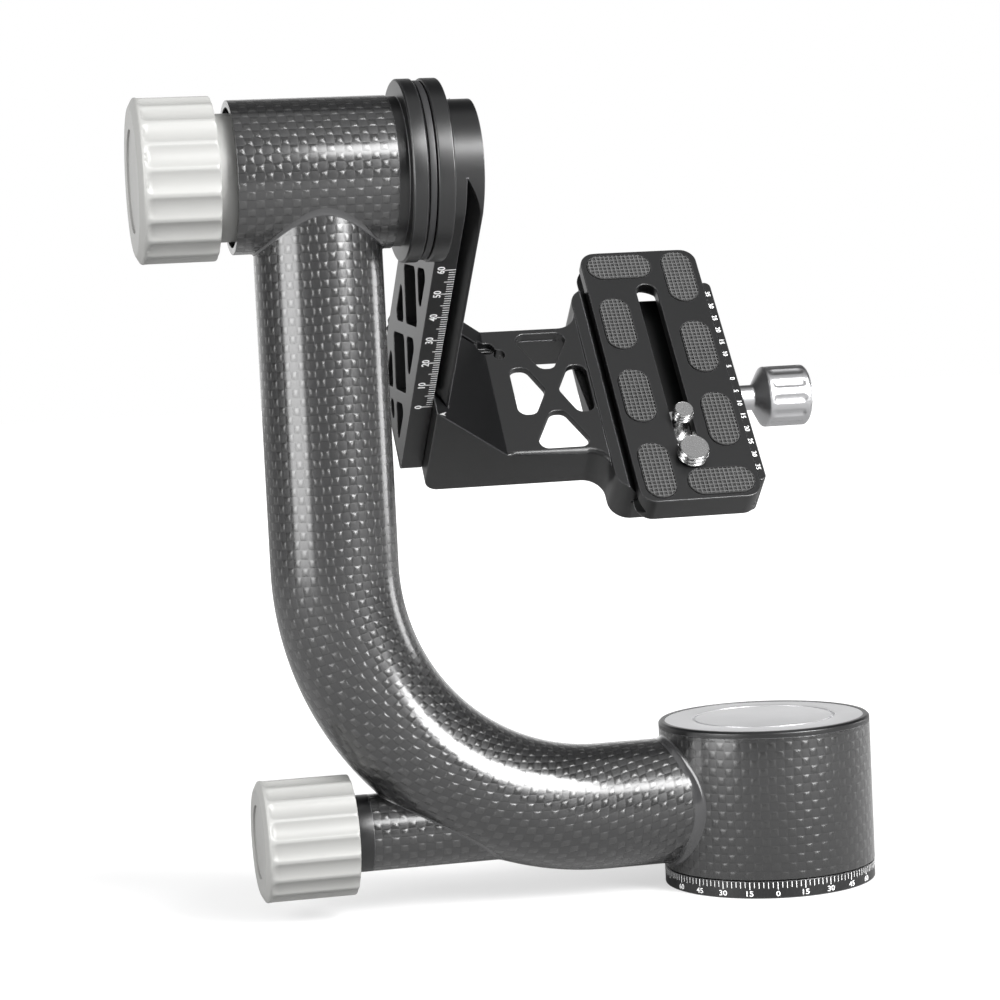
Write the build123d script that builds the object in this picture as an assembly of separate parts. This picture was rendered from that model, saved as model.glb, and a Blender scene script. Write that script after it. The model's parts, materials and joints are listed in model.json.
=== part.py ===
from build123d import *
import math
import os

# A side-mount gimbal head for a long lens, in millimetres.
# The origin is the middle of the base's underside and +Z is up. X runs along the tilt axis, from the
# lock knobs towards the cradle, and the photographer stands at -Y.
# The swing arm and all that hangs on it are drawn hanging straight down from the tilt axis, where
# "down" is the distance below that axis, and are then swung back to where the head is at rest.

# Fits
running_gap = 0.05          # radial play of a shaft or screw in its hole
turning_gap = 0.27          # between faces that turn past each other
slide_gap = 0.16            # between the cradle and the swing arm's dovetail
clamp_gap = 0.3             # between the camera plate and the clamp's jaws
free_hole_gap = 0.6         # round a rod that only passes through a wall
screw_sink = 0.2            # how far a flush screw's head lies under the face
thread_end_room = 2.0       # spare hole beyond the end of a screw or pin

# Base and pan bearing
sleeve_radius = 30.1
sleeve_wall = 2.0
scale_ring_step = 0.1       # the scale ring's radius is this much under the sleeve's
scale_ring_height = 4.8
pan_seam = 0.3
sleeve_height = 39.55
trim_ring_height = 1.96
cap_thickness = 2.1
cap_drop = 0.12
cap_groove_radius = 20.0
cap_groove_width = 0.9
cap_groove_depth = 0.5
tripod_thread_radius = 4.7625
base_boss_radius = 12.0
base_boss_height = 4.2
spindle_bore_radius = 5.2   # the spindle's relief bore above the tripod thread
base_screw_count = 4
base_screw_circle = 7.5
base_screw_radius = 1.25
base_screw_head_radius = 2.5
base_screw_length = 17.0
pan_shaft_radius = 10.0
pan_collar_radius = 11.5
pan_collar_length = 12.0
pan_bearing_radius = 17.0
pan_bearing_width = 8.0
pan_bearing_lip = 1.2        # wall between the bearings stands in by this much
pan_nut_radius = 14.0
pan_nut_height = 4.0
pan_nut_notch = 2.5
ball_share = 0.34           # ball radius as a share of the room between shaft and seat
ball_count = 12

# Carbon arm
arm_radius = 17.72
arm_wall = 1.8
arm_bend_radius = 72.76
leg_height = 24.73
upright_x = -121.53

# Cross tube and tilt bearing
tilt_height = 205.59
tube_radius = 20.95
tube_wall = 1.95
tube_left = -144.91
tube_length = 43.51
collar_radius = 20.5
collar_length = 2.97
flange_radius = 25.19
flange_thickness = 4.43
flange_chamfer = 0.35
tilt_shaft_radius = 8.0
tilt_bearing_radius = 16.0
tilt_bearing_width = 7.0
tilt_bearing_lip = 1.5
spindle_flange_radius = 12.5
spindle_flange_thickness = 4.0
spindle_shoulder_radius = 9.8
spindle_shoulder_length = 1.4
housing_end_wall = 3.8
housing_bore_gap = 2.5      # round the spindle, where it leaves the housing
spindle_end_reach = 1.0
friction_ring_radius = 24.6
friction_ring_thickness = 1.86

# Swing arm
swing_angle = 49.09         # how far the arm is swung back from hanging straight down, at rest
disc_radius = 25.2
disc_thickness = 4.79
disc_chamfer = 0.35
head_radius = 19.22
swing_plate_thickness = 6.57
swing_plate_inset = 2.32    # how far the plate reaches into the disc
swing_half_width = 19.1
swing_length = 110.25
swing_corner = 1.5
dovetail_neck = 15.0
dovetail_depth = 4.88
dovetail_runout = 12.0      # the dovetail's grooves run this far above the tilt axis
truss_pitch = 30.0
truss_first = 37.0          # first crossing of the truss, below the tilt axis
truss_rib = 3.75
truss_frame = 12.65         # half width of the field inside the frame
truss_depth = 3.5
truss_round = 2.2
truss_top = 27.5
truss_bottom = 106.0
spindle_bolt_count = 4
spindle_bolt_circle = 9.3
spindle_bolt_radius = 1.6
spindle_bolt_head = 3.2
bolt_head_room = 1.2        # the bolt heads' sinks are this much wider
bolt_end_gap = 0.4

# Tilt lock
tilt_knob_radius = 22.49
tilt_knob_length = 21.8
tilt_knob_face_radius = 20.0
tilt_knob_nose = 1.37
tilt_knob_flutes = 20
tilt_knob_flute_start = 1.9
tilt_knob_flute_arc = 15.4
tilt_flute_radius = 6.5
tilt_knob_first_flute = -58.1
tilt_knob_left = -171.18
tilt_neck_radius = 17.4
tilt_neck_length = 10.4
tilt_stud_radius = 4.0
tilt_stud_reach = 26.0      # how far the stud enters the spindle
washer_thickness = 1.5
knob_cap_thickness = 1.0
knob_cap_share = 0.7        # the cap's radius as a share of the knob's face
knob_cap_recess = 0.15
knob_edge_chamfer = 0.5
knob_bore_start = 6.0       # the stud's hole starts this far behind the face
knob_flute_ease = 1.4       # rounding of the flutes' ends

# Pan lock
pan_knob_radius = 16.86
pan_knob_length = 26.18
pan_knob_face_radius = 14.6
pan_knob_nose = 1.2
pan_knob_flutes = 18
pan_knob_flute_start = 1.7
pan_knob_flute_arc = 17.0
pan_flute_radius = 5.5
pan_knob_first_flute = 59.05
pan_knob_left = -147.0
lock_axis_height = 22.98
lock_tube_radius = 10.7
lock_tube_wall = 1.4
lock_collar_length = 4.6
lock_collar_plug = 12.0
lock_rod_radius = 3.0
brake_pad_radius = 5.0
brake_pad_length = 7.4

# Cradle
cradle_top = 76.8           # below the tilt axis
cradle_bottom = 113.9
cradle_half_width = 24.5
cradle_slope_run = 24.2
platform_top = 99.0
cradle_corner = 4.5
flange_wall = 2.2
web_thickness = 2.4
jaw_block_length = 16.4
slit_width = 1.2
slit_offset = 17.5
slit_length = 21.4
slit_hole_radius = 1.75
slit_hole_run = 2.5
slit_pocket_radius = 2.1    # the slit is opened out where the platform begins
slit_pocket_length = 6.5
slit_hole_side = 0.8         # half width of the slit where it meets its end hole
slit_beam_wall = 2.5        # solid beam round the slit, where the platform is hollow
slit_beam_end = 8.0
cradle_reach = 80.0         # from the cradle's inner face to the middle of the clamp
clamp_half_length = 40.0
flare_inner_radius = 6.5
flare_outer_radius = 6.3
clamp_floor = 106.1
jaw_land_top = 98.6
jaw_land_width = 3.5
fixed_jaw_setback = 2.1
clamp_base_reach = 13.9     # right end of the clamp's floor, from the middle of the clamp
opening_centre = -37.4      # crossing of the platform's ribs, from the middle of the clamp
opening_round = 2.8
opening_reach = 12.05       # far end of the left and right openings, from the crossing
opening_shoulder = 6.65
opening_tip = 2.0
opening_half_width = 9.2
side_opening_near = 8.4     # near end of the front and back openings
side_opening_half_width = 9.6
side_opening_half_tip = 2.1
side_opening_cut = 0.3       # how far they reach into the flange
hollow_end_wall = 0.4

# Height lock
height_knob_radius = 10.5
height_knob_length = 11.2
height_knob_flutes = 12
height_knob_from_face = 7.4  # the screw's axis, from the cradle's inner face
height_knob_down = 105.0
height_screw_radius = 2.0
height_screw_reach = 25.0
height_flute_radius = 2.0
height_flute_offset = 0.9    # the flutes' centres lie this far outside the knob
height_knob_taper = 3.0
height_knob_taper_length = 1.6
height_knob_chamfer = 1.0
height_screw_cover = 2.0

# Moving jaw and clamp knob
jaw_outer_reach = 21.9      # outer face, from the middle of the clamp
jaw_strip_width = 2.4
jaw_parting_gap = 0.3
jaw_corner = 2.0
pin_radius = 2.0
pin_spacing = 56.0
pin_length = 28.0
pin_cover = 1.5
clamp_screw_down = 108.6
clamp_screw_radius = 2.0
clamp_screw_reach = 38.0
clamp_neck_radius = 3.95
clamp_neck_length = 6.4
clamp_cone_length = 3.4
clamp_knob_radius = 9.47
clamp_knob_length = 13.9
clamp_knob_flutes = 12
clamp_flute_radius = 1.5
clamp_flute_offset = 0.9
clamp_flute_start = 2.2
clamp_flute_end = 3.2
clamp_first_flute = 15.0
clamp_knob_chamfer = 0.9
clamp_screw_entry = 6.0     # how far the screw enters the knob

# Camera plate
plate_half_width = 19.0
plate_length = 100.0
plate_shift = 3.05          # the plate's middle, behind the clamp's middle, at rest
plate_top = 96.93
plate_corner = 5.0
plate_groove_down = 103.0   # depth of the groove's deepest line
plate_groove_depth = 2.5
slot_width = 6.6
slot_front = -30.4
slot_back = 35.7
slot_roof = 3.7
slot_recess_width = 15.0
pad_width = 9.8
pad_length = 20.8
pad_recess = 1.0
pad_stand = 0.5
pad_pitch = 29.2
pad_column = 12.0           # from the plate's middle line to each row of pads
pad_first = 20.05           # first pad of a row, from the plate's middle
end_pad_across = 6.9
end_pad_along = 43.65
quarter_radius = 3.175
large_radius = 4.7625
quarter_place = -15.6
screw_stand = 4.3           # how far the camera screws stand above the plate
screw_shank_radius = 2.7
camera_screw_chamfer = 0.8
screw_head_radius = 7.0
screw_head_height = 3.1
screw_head_gap = 0.5        # under the head, to the plate's underside
coin_slot_width = 1.6
coin_slot_depth = 1.2
clip_radius = 5.4
clip_thickness = 0.8
clip_gap = 0.2

# Levels and places that follow from the sizes above
sleeve_bottom = scale_ring_height + pan_seam
sleeve_top = sleeve_bottom + sleeve_height
base_top = sleeve_top + trim_ring_height
cap_top = base_top - cap_drop
cap_radius = sleeve_radius - sleeve_wall + turning_gap
housing_top = cap_top - cap_thickness
boss_top = scale_ring_height + base_boss_height
collar_low = boss_top + pan_bearing_width
collar_high = collar_low + pan_collar_length
nut_low = collar_high + pan_bearing_width
shaft_top = nut_low + pan_nut_height
bend_x = upright_x + arm_bend_radius
bend_z = leg_height + arm_bend_radius

tube_right = tube_left + tube_length
flange_left = tube_right + collar_length
flange_right = flange_left + flange_thickness
ring_left = flange_right + turning_gap
disc_left = ring_left + friction_ring_thickness + turning_gap
disc_right = disc_left + disc_thickness
swing_left = disc_right - swing_plate_inset
swing_right = swing_left + swing_plate_thickness
dovetail_right = swing_right + dovetail_depth
spindle_flange_left = disc_left - spindle_flange_thickness
spindle_shoulder = spindle_flange_left - spindle_shoulder_length
right_bearing = spindle_shoulder - tilt_bearing_width
knob_right = tilt_knob_left + tilt_knob_length
neck_end = knob_right + tilt_neck_length
housing_left = neck_end + washer_thickness + turning_gap
left_bearing = housing_left + housing_end_wall
spindle_left = left_bearing - spindle_end_reach

pan_knob_right = pan_knob_left + pan_knob_length
lock_collar_left = pan_knob_right + turning_gap
lock_tube_left = lock_collar_left + lock_collar_length

cradle_left = swing_right + slide_gap
clamp_x = cradle_left + cradle_reach
slope_right = cradle_left + cradle_slope_run
jaw_block_right = cradle_left + jaw_block_length
plate_left = clamp_x - plate_half_width
plate_right = clamp_x + plate_half_width
groove_left = plate_left + plate_groove_depth
groove_right = plate_right - plate_groove_depth
jaw_land_right = plate_left - fixed_jaw_setback
jaw_back = jaw_land_right - jaw_land_width
clamp_base_right = clamp_x + clamp_base_reach
jaw_outer = clamp_x + jaw_outer_reach
jaw_inner = clamp_base_right + jaw_parting_gap
plate_bottom = clamp_floor - clamp_gap
plate_front = plate_shift - plate_length / 2
plate_back = plate_shift + plate_length / 2
height_knob_x = cradle_left + height_knob_from_face
slot_under = plate_top + slot_roof

AIM = {"x": Rot(0, 90, 0), "y": Rot(-90, 0, 0), "z": Rot(0, 0, 0)}
BASED = (Align.CENTER, Align.CENTER, Align.MIN)


def spot(along, start, centre):
    """The point at start on the line through centre that runs along one axis."""
    first, second = centre
    places = {"x": (start, first, second), "y": (first, start, second), "z": (first, second, start)}
    return Pos(*places[along])


def rod(radius, start, end, along="z", centre=(0, 0)):
    """A cylinder along one axis, from start to end."""
    return spot(along, start, centre) * AIM[along] * Cylinder(radius, end - start, align=BASED)


def tube(outer, inner, start, end, along="z", centre=(0, 0)):
    """A cylinder with a bore."""
    return rod(outer, start, end, along, centre) - rod(inner, start - 1, end + 1, along, centre)


def turned(outline, along="z", centre=(0, 0)):
    """A turned body from its outline, given as pairs of radius and place along the axis."""
    half = make_face(Polyline([(radius, 0, place) for radius, place in outline], close=True))
    return spot(along, 0, centre) * AIM[along] * revolve(half, Axis.Z, 360)


def outline(points, corner=0):
    """A flat outline, with all its corners rounded if asked."""
    face = make_face(Polyline(points, close=True))
    return fillet(face.vertices(), corner) if corner else face


def across(face, left, right):
    """A wall across X, from an outline of distances back and up."""
    return Plane(origin=(left, 0, 0), x_dir=(0, 1, 0), z_dir=(1, 0, 0)).location * extrude(face, right - left)


def along_depth(face, front, back):
    """A bar from front to back, from an outline of X and distances down."""
    plane = Plane(origin=(0, front, 0), x_dir=(1, 0, 0), z_dir=(0, 1, 0))
    return plane.location * extrude(face, back - front)


def slab(face, top, bottom):
    """A slab seen from above, between two distances down."""
    return Pos(0, 0, -bottom) * extrude(face, bottom - top)


def ring_of(count, circle, first=0):
    """Points evenly round a circle, as pairs of distances."""
    for number in range(count):
        turn = math.radians(first + number * 360 / count)
        yield circle * math.cos(turn), circle * math.sin(turn)


def bearing(shaft, seat, width, start, along="z", centre=(0, 0)):
    """Inner race, outer race and balls of a ball bearing."""
    pitch = (shaft + seat) / 2
    ball = (seat - shaft) * ball_share
    middle = start + width / 2
    groove = spot(along, middle, centre) * AIM[along] * Torus(pitch, ball + running_gap)
    inner = tube(pitch - ball / 2, shaft, start, start + width, along, centre) - groove
    outer = tube(seat, pitch + ball / 2, start, start + width, along, centre) - groove
    balls = [spot(along, middle, centre) * AIM[along] * Pos(x, y, 0) * Sphere(ball)
             for x, y in ring_of(ball_count, pitch)]
    return inner, outer, balls


def flutes(radius, count, arc, first, start, end, cutter, centre_height):
    """Cutters for the flutes of a knob whose axis lies along X; angles run from the front upwards."""
    half = math.radians(arc / 2)
    away = radius * math.cos(half) + math.sqrt(cutter ** 2 - (radius * math.sin(half)) ** 2)
    ease = knob_flute_ease
    nose = [(cutter - ease * (1 - math.sin(turn)), start + ease * (1 - math.cos(turn)))
            for turn in (math.radians(step) for step in (0, 30, 60, 90))]
    shape = [(0, start)] + nose + [(cutter, end), (0, end)]
    return [turned(shape, "x", (back, centre_height + up)) for back, up in ring_of(count, away, 180 - first)]


def group(pieces):
    """Separate solids that share one name."""
    return Compound([solid for piece in pieces for solid in piece.solids()])


hang = Pos(0, 0, tilt_height) * Rot(swing_angle, 0, 0)


# ---------------------------------------------------------------- base

def base_plate():
    disc = rod(sleeve_radius - scale_ring_step, 0, scale_ring_height) + rod(base_boss_radius, 0, boss_top)
    disc -= rod(tripod_thread_radius, -1, boss_top + 1)
    for x, y in ring_of(base_screw_count, base_screw_circle, 45):
        disc -= rod(base_screw_radius + running_gap, -1, boss_top + 1, "z", (x, y))
        disc -= base_screw_head((x, y), running_gap)
    return disc


def base_screw_head(place, play=0.0):
    """The conical head of a base screw, just inside the base's underside."""
    low = screw_sink - play
    wide = base_screw_head_radius + play
    high = low + wide - base_screw_radius
    return turned([(0, low), (wide, low), (base_screw_radius, high), (0, high)], "z", place)


def base_screws():
    screws = []
    for place in ring_of(base_screw_count, base_screw_circle, 45):
        shank = rod(base_screw_radius, screw_sink, base_screw_length, "z", place)
        screws.append(shank + base_screw_head(place))
    return group(screws)


def pan_spindle():
    shaft = rod(pan_shaft_radius, boss_top, shaft_top) + rod(pan_collar_radius, collar_low, collar_high)
    shaft -= rod(spindle_bore_radius, boss_top - 1, shaft_top + 1)
    for x, y in ring_of(base_screw_count, base_screw_circle, 45):
        shaft -= rod(base_screw_radius, boss_top - 1, base_screw_length, "z", (x, y))
    return shaft


def spindle_nut():
    nut = tube(pan_nut_radius, pan_shaft_radius, nut_low, shaft_top)
    for x, y in ring_of(4, pan_nut_radius):
        nut -= Pos(x, y, nut_low + pan_nut_height / 2) * Box(pan_nut_notch, pan_nut_notch, pan_nut_height + 2)
    return nut


def pan_housing():
    outer = sleeve_radius - sleeve_wall
    body = rod(outer, sleeve_bottom, housing_top)
    body -= rod(pan_bearing_radius, sleeve_bottom - 1, collar_low)
    body -= rod(pan_bearing_radius - pan_bearing_lip, collar_low - 1, collar_high + 1)
    body -= rod(pan_bearing_radius, collar_high, housing_top + 1)
    body -= rod(brake_pad_radius, -outer - 1, 0, "x", (0, lock_axis_height))
    return body


def base_sleeve():
    sleeve = tube(sleeve_radius, sleeve_radius - sleeve_wall, sleeve_bottom, sleeve_top)
    return sleeve - rod(lock_rod_radius + free_hole_gap, -sleeve_radius - 1, 0, "x", (0, lock_axis_height))


def top_ring():
    return tube(sleeve_radius, cap_radius, sleeve_top, base_top)


def top_cap():
    cap = rod(cap_radius, sleeve_top, cap_top) + rod(sleeve_radius - sleeve_wall, housing_top, sleeve_top)
    half = cap_groove_width / 2
    groove = tube(cap_groove_radius + half, cap_groove_radius - half, cap_top - cap_groove_depth, cap_top + 1)
    return cap - groove


# ---------------------------------------------------------------- carbon arm and tubes

def bent_bar(radius):
    """The arm's path from the base to the cross tube as a solid bar of one radius."""
    leg = rod(radius, bend_x, 0, "x", (0, leg_height))
    end = Plane(origin=(bend_x, 0, leg_height), x_dir=(0, 1, 0), z_dir=(1, 0, 0)) * Circle(radius)
    bend = revolve(end, Axis((bend_x, 0, bend_z), (0, 1, 0)), 90)
    upright = rod(radius, bend_z, tilt_height, "z", (upright_x, 0))
    return leg + bend + upright


def carbon_arm():
    arm = bent_bar(arm_radius) - bent_bar(arm_radius - arm_wall)
    arm -= rod(sleeve_radius, -1, base_top + 1)
    arm -= rod(tube_radius, tube_left - 1, tube_right + 1, "x", (0, tilt_height))
    hole = rod(lock_rod_radius + free_hole_gap, pan_knob_left, bend_x, "x", (0, lock_axis_height))
    return arm - hole


def upper_tube():
    return tube(tube_radius, tube_radius - tube_wall, tube_left, tube_right, "x", (0, tilt_height))


def pan_lock_tube():
    piece = tube(lock_tube_radius, lock_tube_radius - lock_tube_wall, lock_tube_left, bend_x, "x",
                 (0, lock_axis_height))
    return piece - bent_bar(arm_radius)


def pan_lock_collar():
    axis = (0, lock_axis_height)
    collar = rod(lock_tube_radius, lock_collar_left, lock_tube_left, "x", axis)
    plug_end = lock_tube_left + lock_collar_plug
    collar += rod(lock_tube_radius - lock_tube_wall, lock_tube_left, plug_end, "x", axis)
    collar -= bent_bar(arm_radius)
    return collar - rod(lock_rod_radius + running_gap, lock_collar_left - 1, bend_x, "x", axis)


def pan_brake_pad():
    touch = pan_collar_radius + turning_gap
    pad = rod(brake_pad_radius, -touch - brake_pad_length, -touch + 2, "x", (0, lock_axis_height))
    return pad - rod(touch, -1, base_top)


# ---------------------------------------------------------------- tilt joint

def tilt_housing():
    axis = (0, tilt_height)
    liner = tube_radius - tube_wall
    body = rod(liner, housing_left, tube_right, "x", axis)
    body += rod(collar_radius, tube_right, flange_left, "x", axis)
    edge = flange_radius - flange_chamfer
    rim = [(0, flange_left), (edge, flange_left), (flange_radius, flange_left + flange_chamfer),
           (flange_radius, flange_right - flange_chamfer), (edge, flange_right), (0, flange_right)]
    body += turned(rim, "x", axis)
    waist = tilt_bearing_radius - tilt_bearing_lip
    body -= rod(tilt_shaft_radius + housing_bore_gap, housing_left - 1, left_bearing + 1, "x", axis)
    body -= rod(tilt_bearing_radius, left_bearing, left_bearing + tilt_bearing_width, "x", axis)
    body -= rod(waist, left_bearing + tilt_bearing_width - 1, right_bearing + 1, "x", axis)
    body -= rod(tilt_bearing_radius, right_bearing, flange_right + 1, "x", axis)
    return body


def tilt_spindle():
    shaft = rod(tilt_shaft_radius, spindle_left, spindle_flange_left, "x")
    shaft += rod(spindle_shoulder_radius, spindle_shoulder, spindle_flange_left, "x")
    shaft += rod(spindle_flange_radius, spindle_flange_left, disc_left, "x")
    hole_end = spindle_left + tilt_stud_reach + thread_end_room
    shaft -= rod(tilt_stud_radius + running_gap, spindle_left - 1, hole_end, "x")
    for place in ring_of(spindle_bolt_count, spindle_bolt_circle, 45):
        shaft -= rod(spindle_bolt_radius, spindle_flange_left - 1, disc_left + 1, "x", place)
    return hang * shaft


def friction_ring():
    inner = spindle_flange_radius + running_gap
    ring_right = ring_left + friction_ring_thickness
    return tube(friction_ring_radius, inner, ring_left, ring_right, "x", (0, tilt_height))


def spindle_bolts():
    bolts = []
    sink = dovetail_right - screw_sink
    lead = spindle_bolt_head - spindle_bolt_radius
    for back, up in ring_of(spindle_bolt_count, spindle_bolt_circle, 45):
        bolt = rod(spindle_bolt_radius, spindle_flange_left + bolt_end_gap, sink - lead, "x", (back, up))
        cone = [(0, sink), (spindle_bolt_head, sink), (spindle_bolt_radius, sink - lead), (0, sink - lead)]
        bolts.append(hang * (bolt + turned(cone, "x", (back, up))))
    return group(bolts)


# ---------------------------------------------------------------- swing arm

def truss_pockets():
    """Pockets between the ribs of the swing arm's truss, as flat outlines of back and up."""
    inset = truss_rib / math.sqrt(2)
    arm = truss_pitch / 2 - inset
    reach = truss_frame - inset
    pockets = []
    crossings = int((truss_bottom - truss_first - inset - 2 * truss_round) // truss_pitch) + 1
    for number in range(crossings):
        down = truss_first + number * truss_pitch
        for side in (-1, 1):
            pockets.append([(side * inset, -down), (side * truss_frame, -down - reach),
                            (side * truss_frame, -down + reach)])
        if number < crossings - 1:
            middle = down + truss_pitch / 2
            pockets.append([(0, -middle - arm), (arm, -middle), (0, -middle + arm), (-arm, -middle)])
    first_tip = truss_first - inset
    half = first_tip - truss_top
    pockets.append([(0, -first_tip), (half, -truss_top), (-half, -truss_top)])
    last_tip = truss_first + (crossings - 1) * truss_pitch + inset
    half = truss_bottom - last_tip
    pockets.append([(0, -last_tip), (half, -truss_bottom), (-half, -truss_bottom)])
    return pockets


def dovetail_outline(grow=0.0, front=0.0):
    """The dovetail's section as X and distance back, grown by a gap for the cradle's groove."""
    widest = swing_half_width + grow
    neck = dovetail_neck + grow * math.sqrt(2) - front
    end = dovetail_right + grow
    corner = swing_right - front + widest - neck
    return [(swing_right - front, -neck), (swing_right - front, neck), (corner, widest), (end, widest),
            (end, -widest), (corner, -widest)]


def swing_arm():
    edge = disc_radius - disc_chamfer
    rim = [(0, disc_left), (edge, disc_left), (disc_radius, disc_left + disc_chamfer),
           (disc_radius, disc_right - disc_chamfer), (edge, disc_right), (0, disc_right)]
    half = swing_half_width
    body = turned(rim, "x") + rod(head_radius, disc_right, dovetail_right, "x")
    for side in (-1, 1):
        groove = [(swing_right, side * dovetail_neck), (swing_right, side * (head_radius + 1)),
                  (dovetail_right + 1, side * (head_radius + 1)), (dovetail_right + 1, side * half),
                  (swing_right + half - dovetail_neck, side * half)]
        body -= slab(outline(groove), -dovetail_runout, swing_length)
    bar = across(outline([(-half, 0), (half, 0), (half, -swing_length), (-half, -swing_length)]),
                 swing_left, swing_right)
    bar = fillet(bar.edges().filter_by(Axis.X).group_by(Axis.Z)[0], swing_corner)
    body += bar + slab(outline(dovetail_outline()), 0, swing_length)
    for pocket in truss_pockets():
        body -= across(outline(pocket, truss_round), swing_left - 1, swing_left + truss_depth)
    for back, up in ring_of(spindle_bolt_count, spindle_bolt_circle, 45):
        sink = dovetail_right + 1
        wide = spindle_bolt_head + bolt_head_room
        low = sink - wide + spindle_bolt_radius
        cone = [(0, sink), (wide, sink), (spindle_bolt_radius, low), (0, low)]
        body -= rod(spindle_bolt_radius, disc_left - 1, dovetail_right + 1, "x", (back, up))
        body -= turned(cone, "x", (back, up))
    return hang * body


# ---------------------------------------------------------------- tilt lock

def knob_body(left, length, radius, face_radius, nose, centre):
    """A plain knob along X with a chamfered face on its left."""
    right = left + length
    edge = knob_edge_chamfer
    shape = [(0, left), (face_radius, left), (radius, left + nose), (radius, right - edge),
             (radius - edge, right), (0, right)]
    knob = turned(shape, "x", centre)
    return knob - rod(face_radius * knob_cap_share, left - 1, left + knob_cap_thickness, "x", centre)


def knob_cap(left, face_radius, centre):
    """The flat cap let into a knob's face."""
    radius = face_radius * knob_cap_share - running_gap
    return rod(radius, left + knob_cap_recess, left + knob_cap_thickness, "x", centre)


def tilt_lock_knob():
    axis = (0, tilt_height)
    knob = knob_body(tilt_knob_left, tilt_knob_length, tilt_knob_radius, tilt_knob_face_radius,
                     tilt_knob_nose, axis)
    knob -= flutes(tilt_knob_radius, tilt_knob_flutes, tilt_knob_flute_arc, tilt_knob_first_flute,
                   tilt_knob_left + tilt_knob_flute_start, knob_right + 1, tilt_flute_radius, tilt_height)
    knob += rod(tilt_neck_radius, knob_right, neck_end, "x", axis)
    return knob - rod(tilt_stud_radius, tilt_knob_left + knob_bore_start, neck_end + 1, "x", axis)


def tilt_lock_stud():
    start = tilt_knob_left + knob_bore_start
    return rod(tilt_stud_radius, start, spindle_left + tilt_stud_reach, "x", (0, tilt_height))


def tilt_thrust_washer():
    bore = tilt_stud_radius + running_gap
    return tube(tilt_neck_radius, bore, neck_end, neck_end + washer_thickness, "x", (0, tilt_height))


# ---------------------------------------------------------------- pan lock

def pan_lock_knob():
    axis = (0, lock_axis_height)
    knob = knob_body(pan_knob_left, pan_knob_length, pan_knob_radius, pan_knob_face_radius,
                     pan_knob_nose, axis)
    knob -= flutes(pan_knob_radius, pan_knob_flutes, pan_knob_flute_arc, pan_knob_first_flute,
                   pan_knob_left + pan_knob_flute_start, pan_knob_right + 1, pan_flute_radius,
                   lock_axis_height)
    return knob - rod(lock_rod_radius, pan_knob_left + knob_bore_start, pan_knob_right + 1, "x", axis)


def pan_lock_rod():
    end = -pan_collar_radius - turning_gap - brake_pad_length - turning_gap
    return rod(lock_rod_radius, pan_knob_left + knob_bore_start, end, "x", (0, lock_axis_height))


# ---------------------------------------------------------------- cradle

def cradle_plan():
    """Outline of the cradle from above: a narrow shelf that flares into the long clamp."""
    wide = clamp_half_length
    narrow = cradle_half_width
    shelf = outline([(cradle_left, -narrow), (jaw_back + 1, -narrow), (jaw_back + 1, narrow),
                     (cradle_left, narrow)])
    clamp = outline([(jaw_back, -wide), (clamp_base_right, -wide), (clamp_base_right, wide),
                     (jaw_back, wide)])
    clamp = fillet(clamp.vertices().group_by(Axis.X)[0], flare_outer_radius)
    clamp = fillet(clamp.vertices().group_by(Axis.X)[-1], jaw_corner)
    plan = shelf + clamp
    inner = [corner for corner in plan.vertices()
             if math.isclose(corner.X, jaw_back) and math.isclose(abs(corner.Y), narrow)]
    return fillet(inner, flare_inner_radius)


def cradle_side():
    """Outline of the cradle from the side, with its V-shaped fixed jaw."""
    tip_x = groove_left - clamp_gap
    rise = tip_x - jaw_land_right
    side = outline([(cradle_left, cradle_top), (slope_right, platform_top), (jaw_back, platform_top),
                    (jaw_back, jaw_land_top), (jaw_land_right, jaw_land_top),
                    (jaw_land_right, plate_groove_down - rise), (tip_x, plate_groove_down),
                    (tip_x - clamp_floor + plate_groove_down, clamp_floor),
                    (clamp_base_right, clamp_floor), (clamp_base_right, cradle_bottom),
                    (cradle_left, cradle_bottom)])
    lowest = side.vertices().group_by(Axis.X)[0].sort_by(Axis.Y)[-1]
    return fillet(lowest, cradle_corner)


def platform_openings():
    """The four openings between the platform's crossed ribs, as outlines of X and distance back."""
    middle = clamp_x + opening_centre
    wide = opening_half_width
    shapes = []
    for side in (-1, 1):
        far = middle + side * opening_reach
        shoulder = middle + side * opening_shoulder
        shapes.append([(far, -wide), (shoulder, -wide), (middle + side * opening_tip, 0), (shoulder, wide),
                       (far, wide)])
    for side in (-1, 1):
        edge = side * (cradle_half_width - flange_wall + side_opening_cut)
        near = side * side_opening_near
        shapes.append([(middle - side_opening_half_width, edge), (middle - side_opening_half_tip, near),
                       (middle + side_opening_half_tip, near), (middle + side_opening_half_width, edge)])
    return shapes


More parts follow.
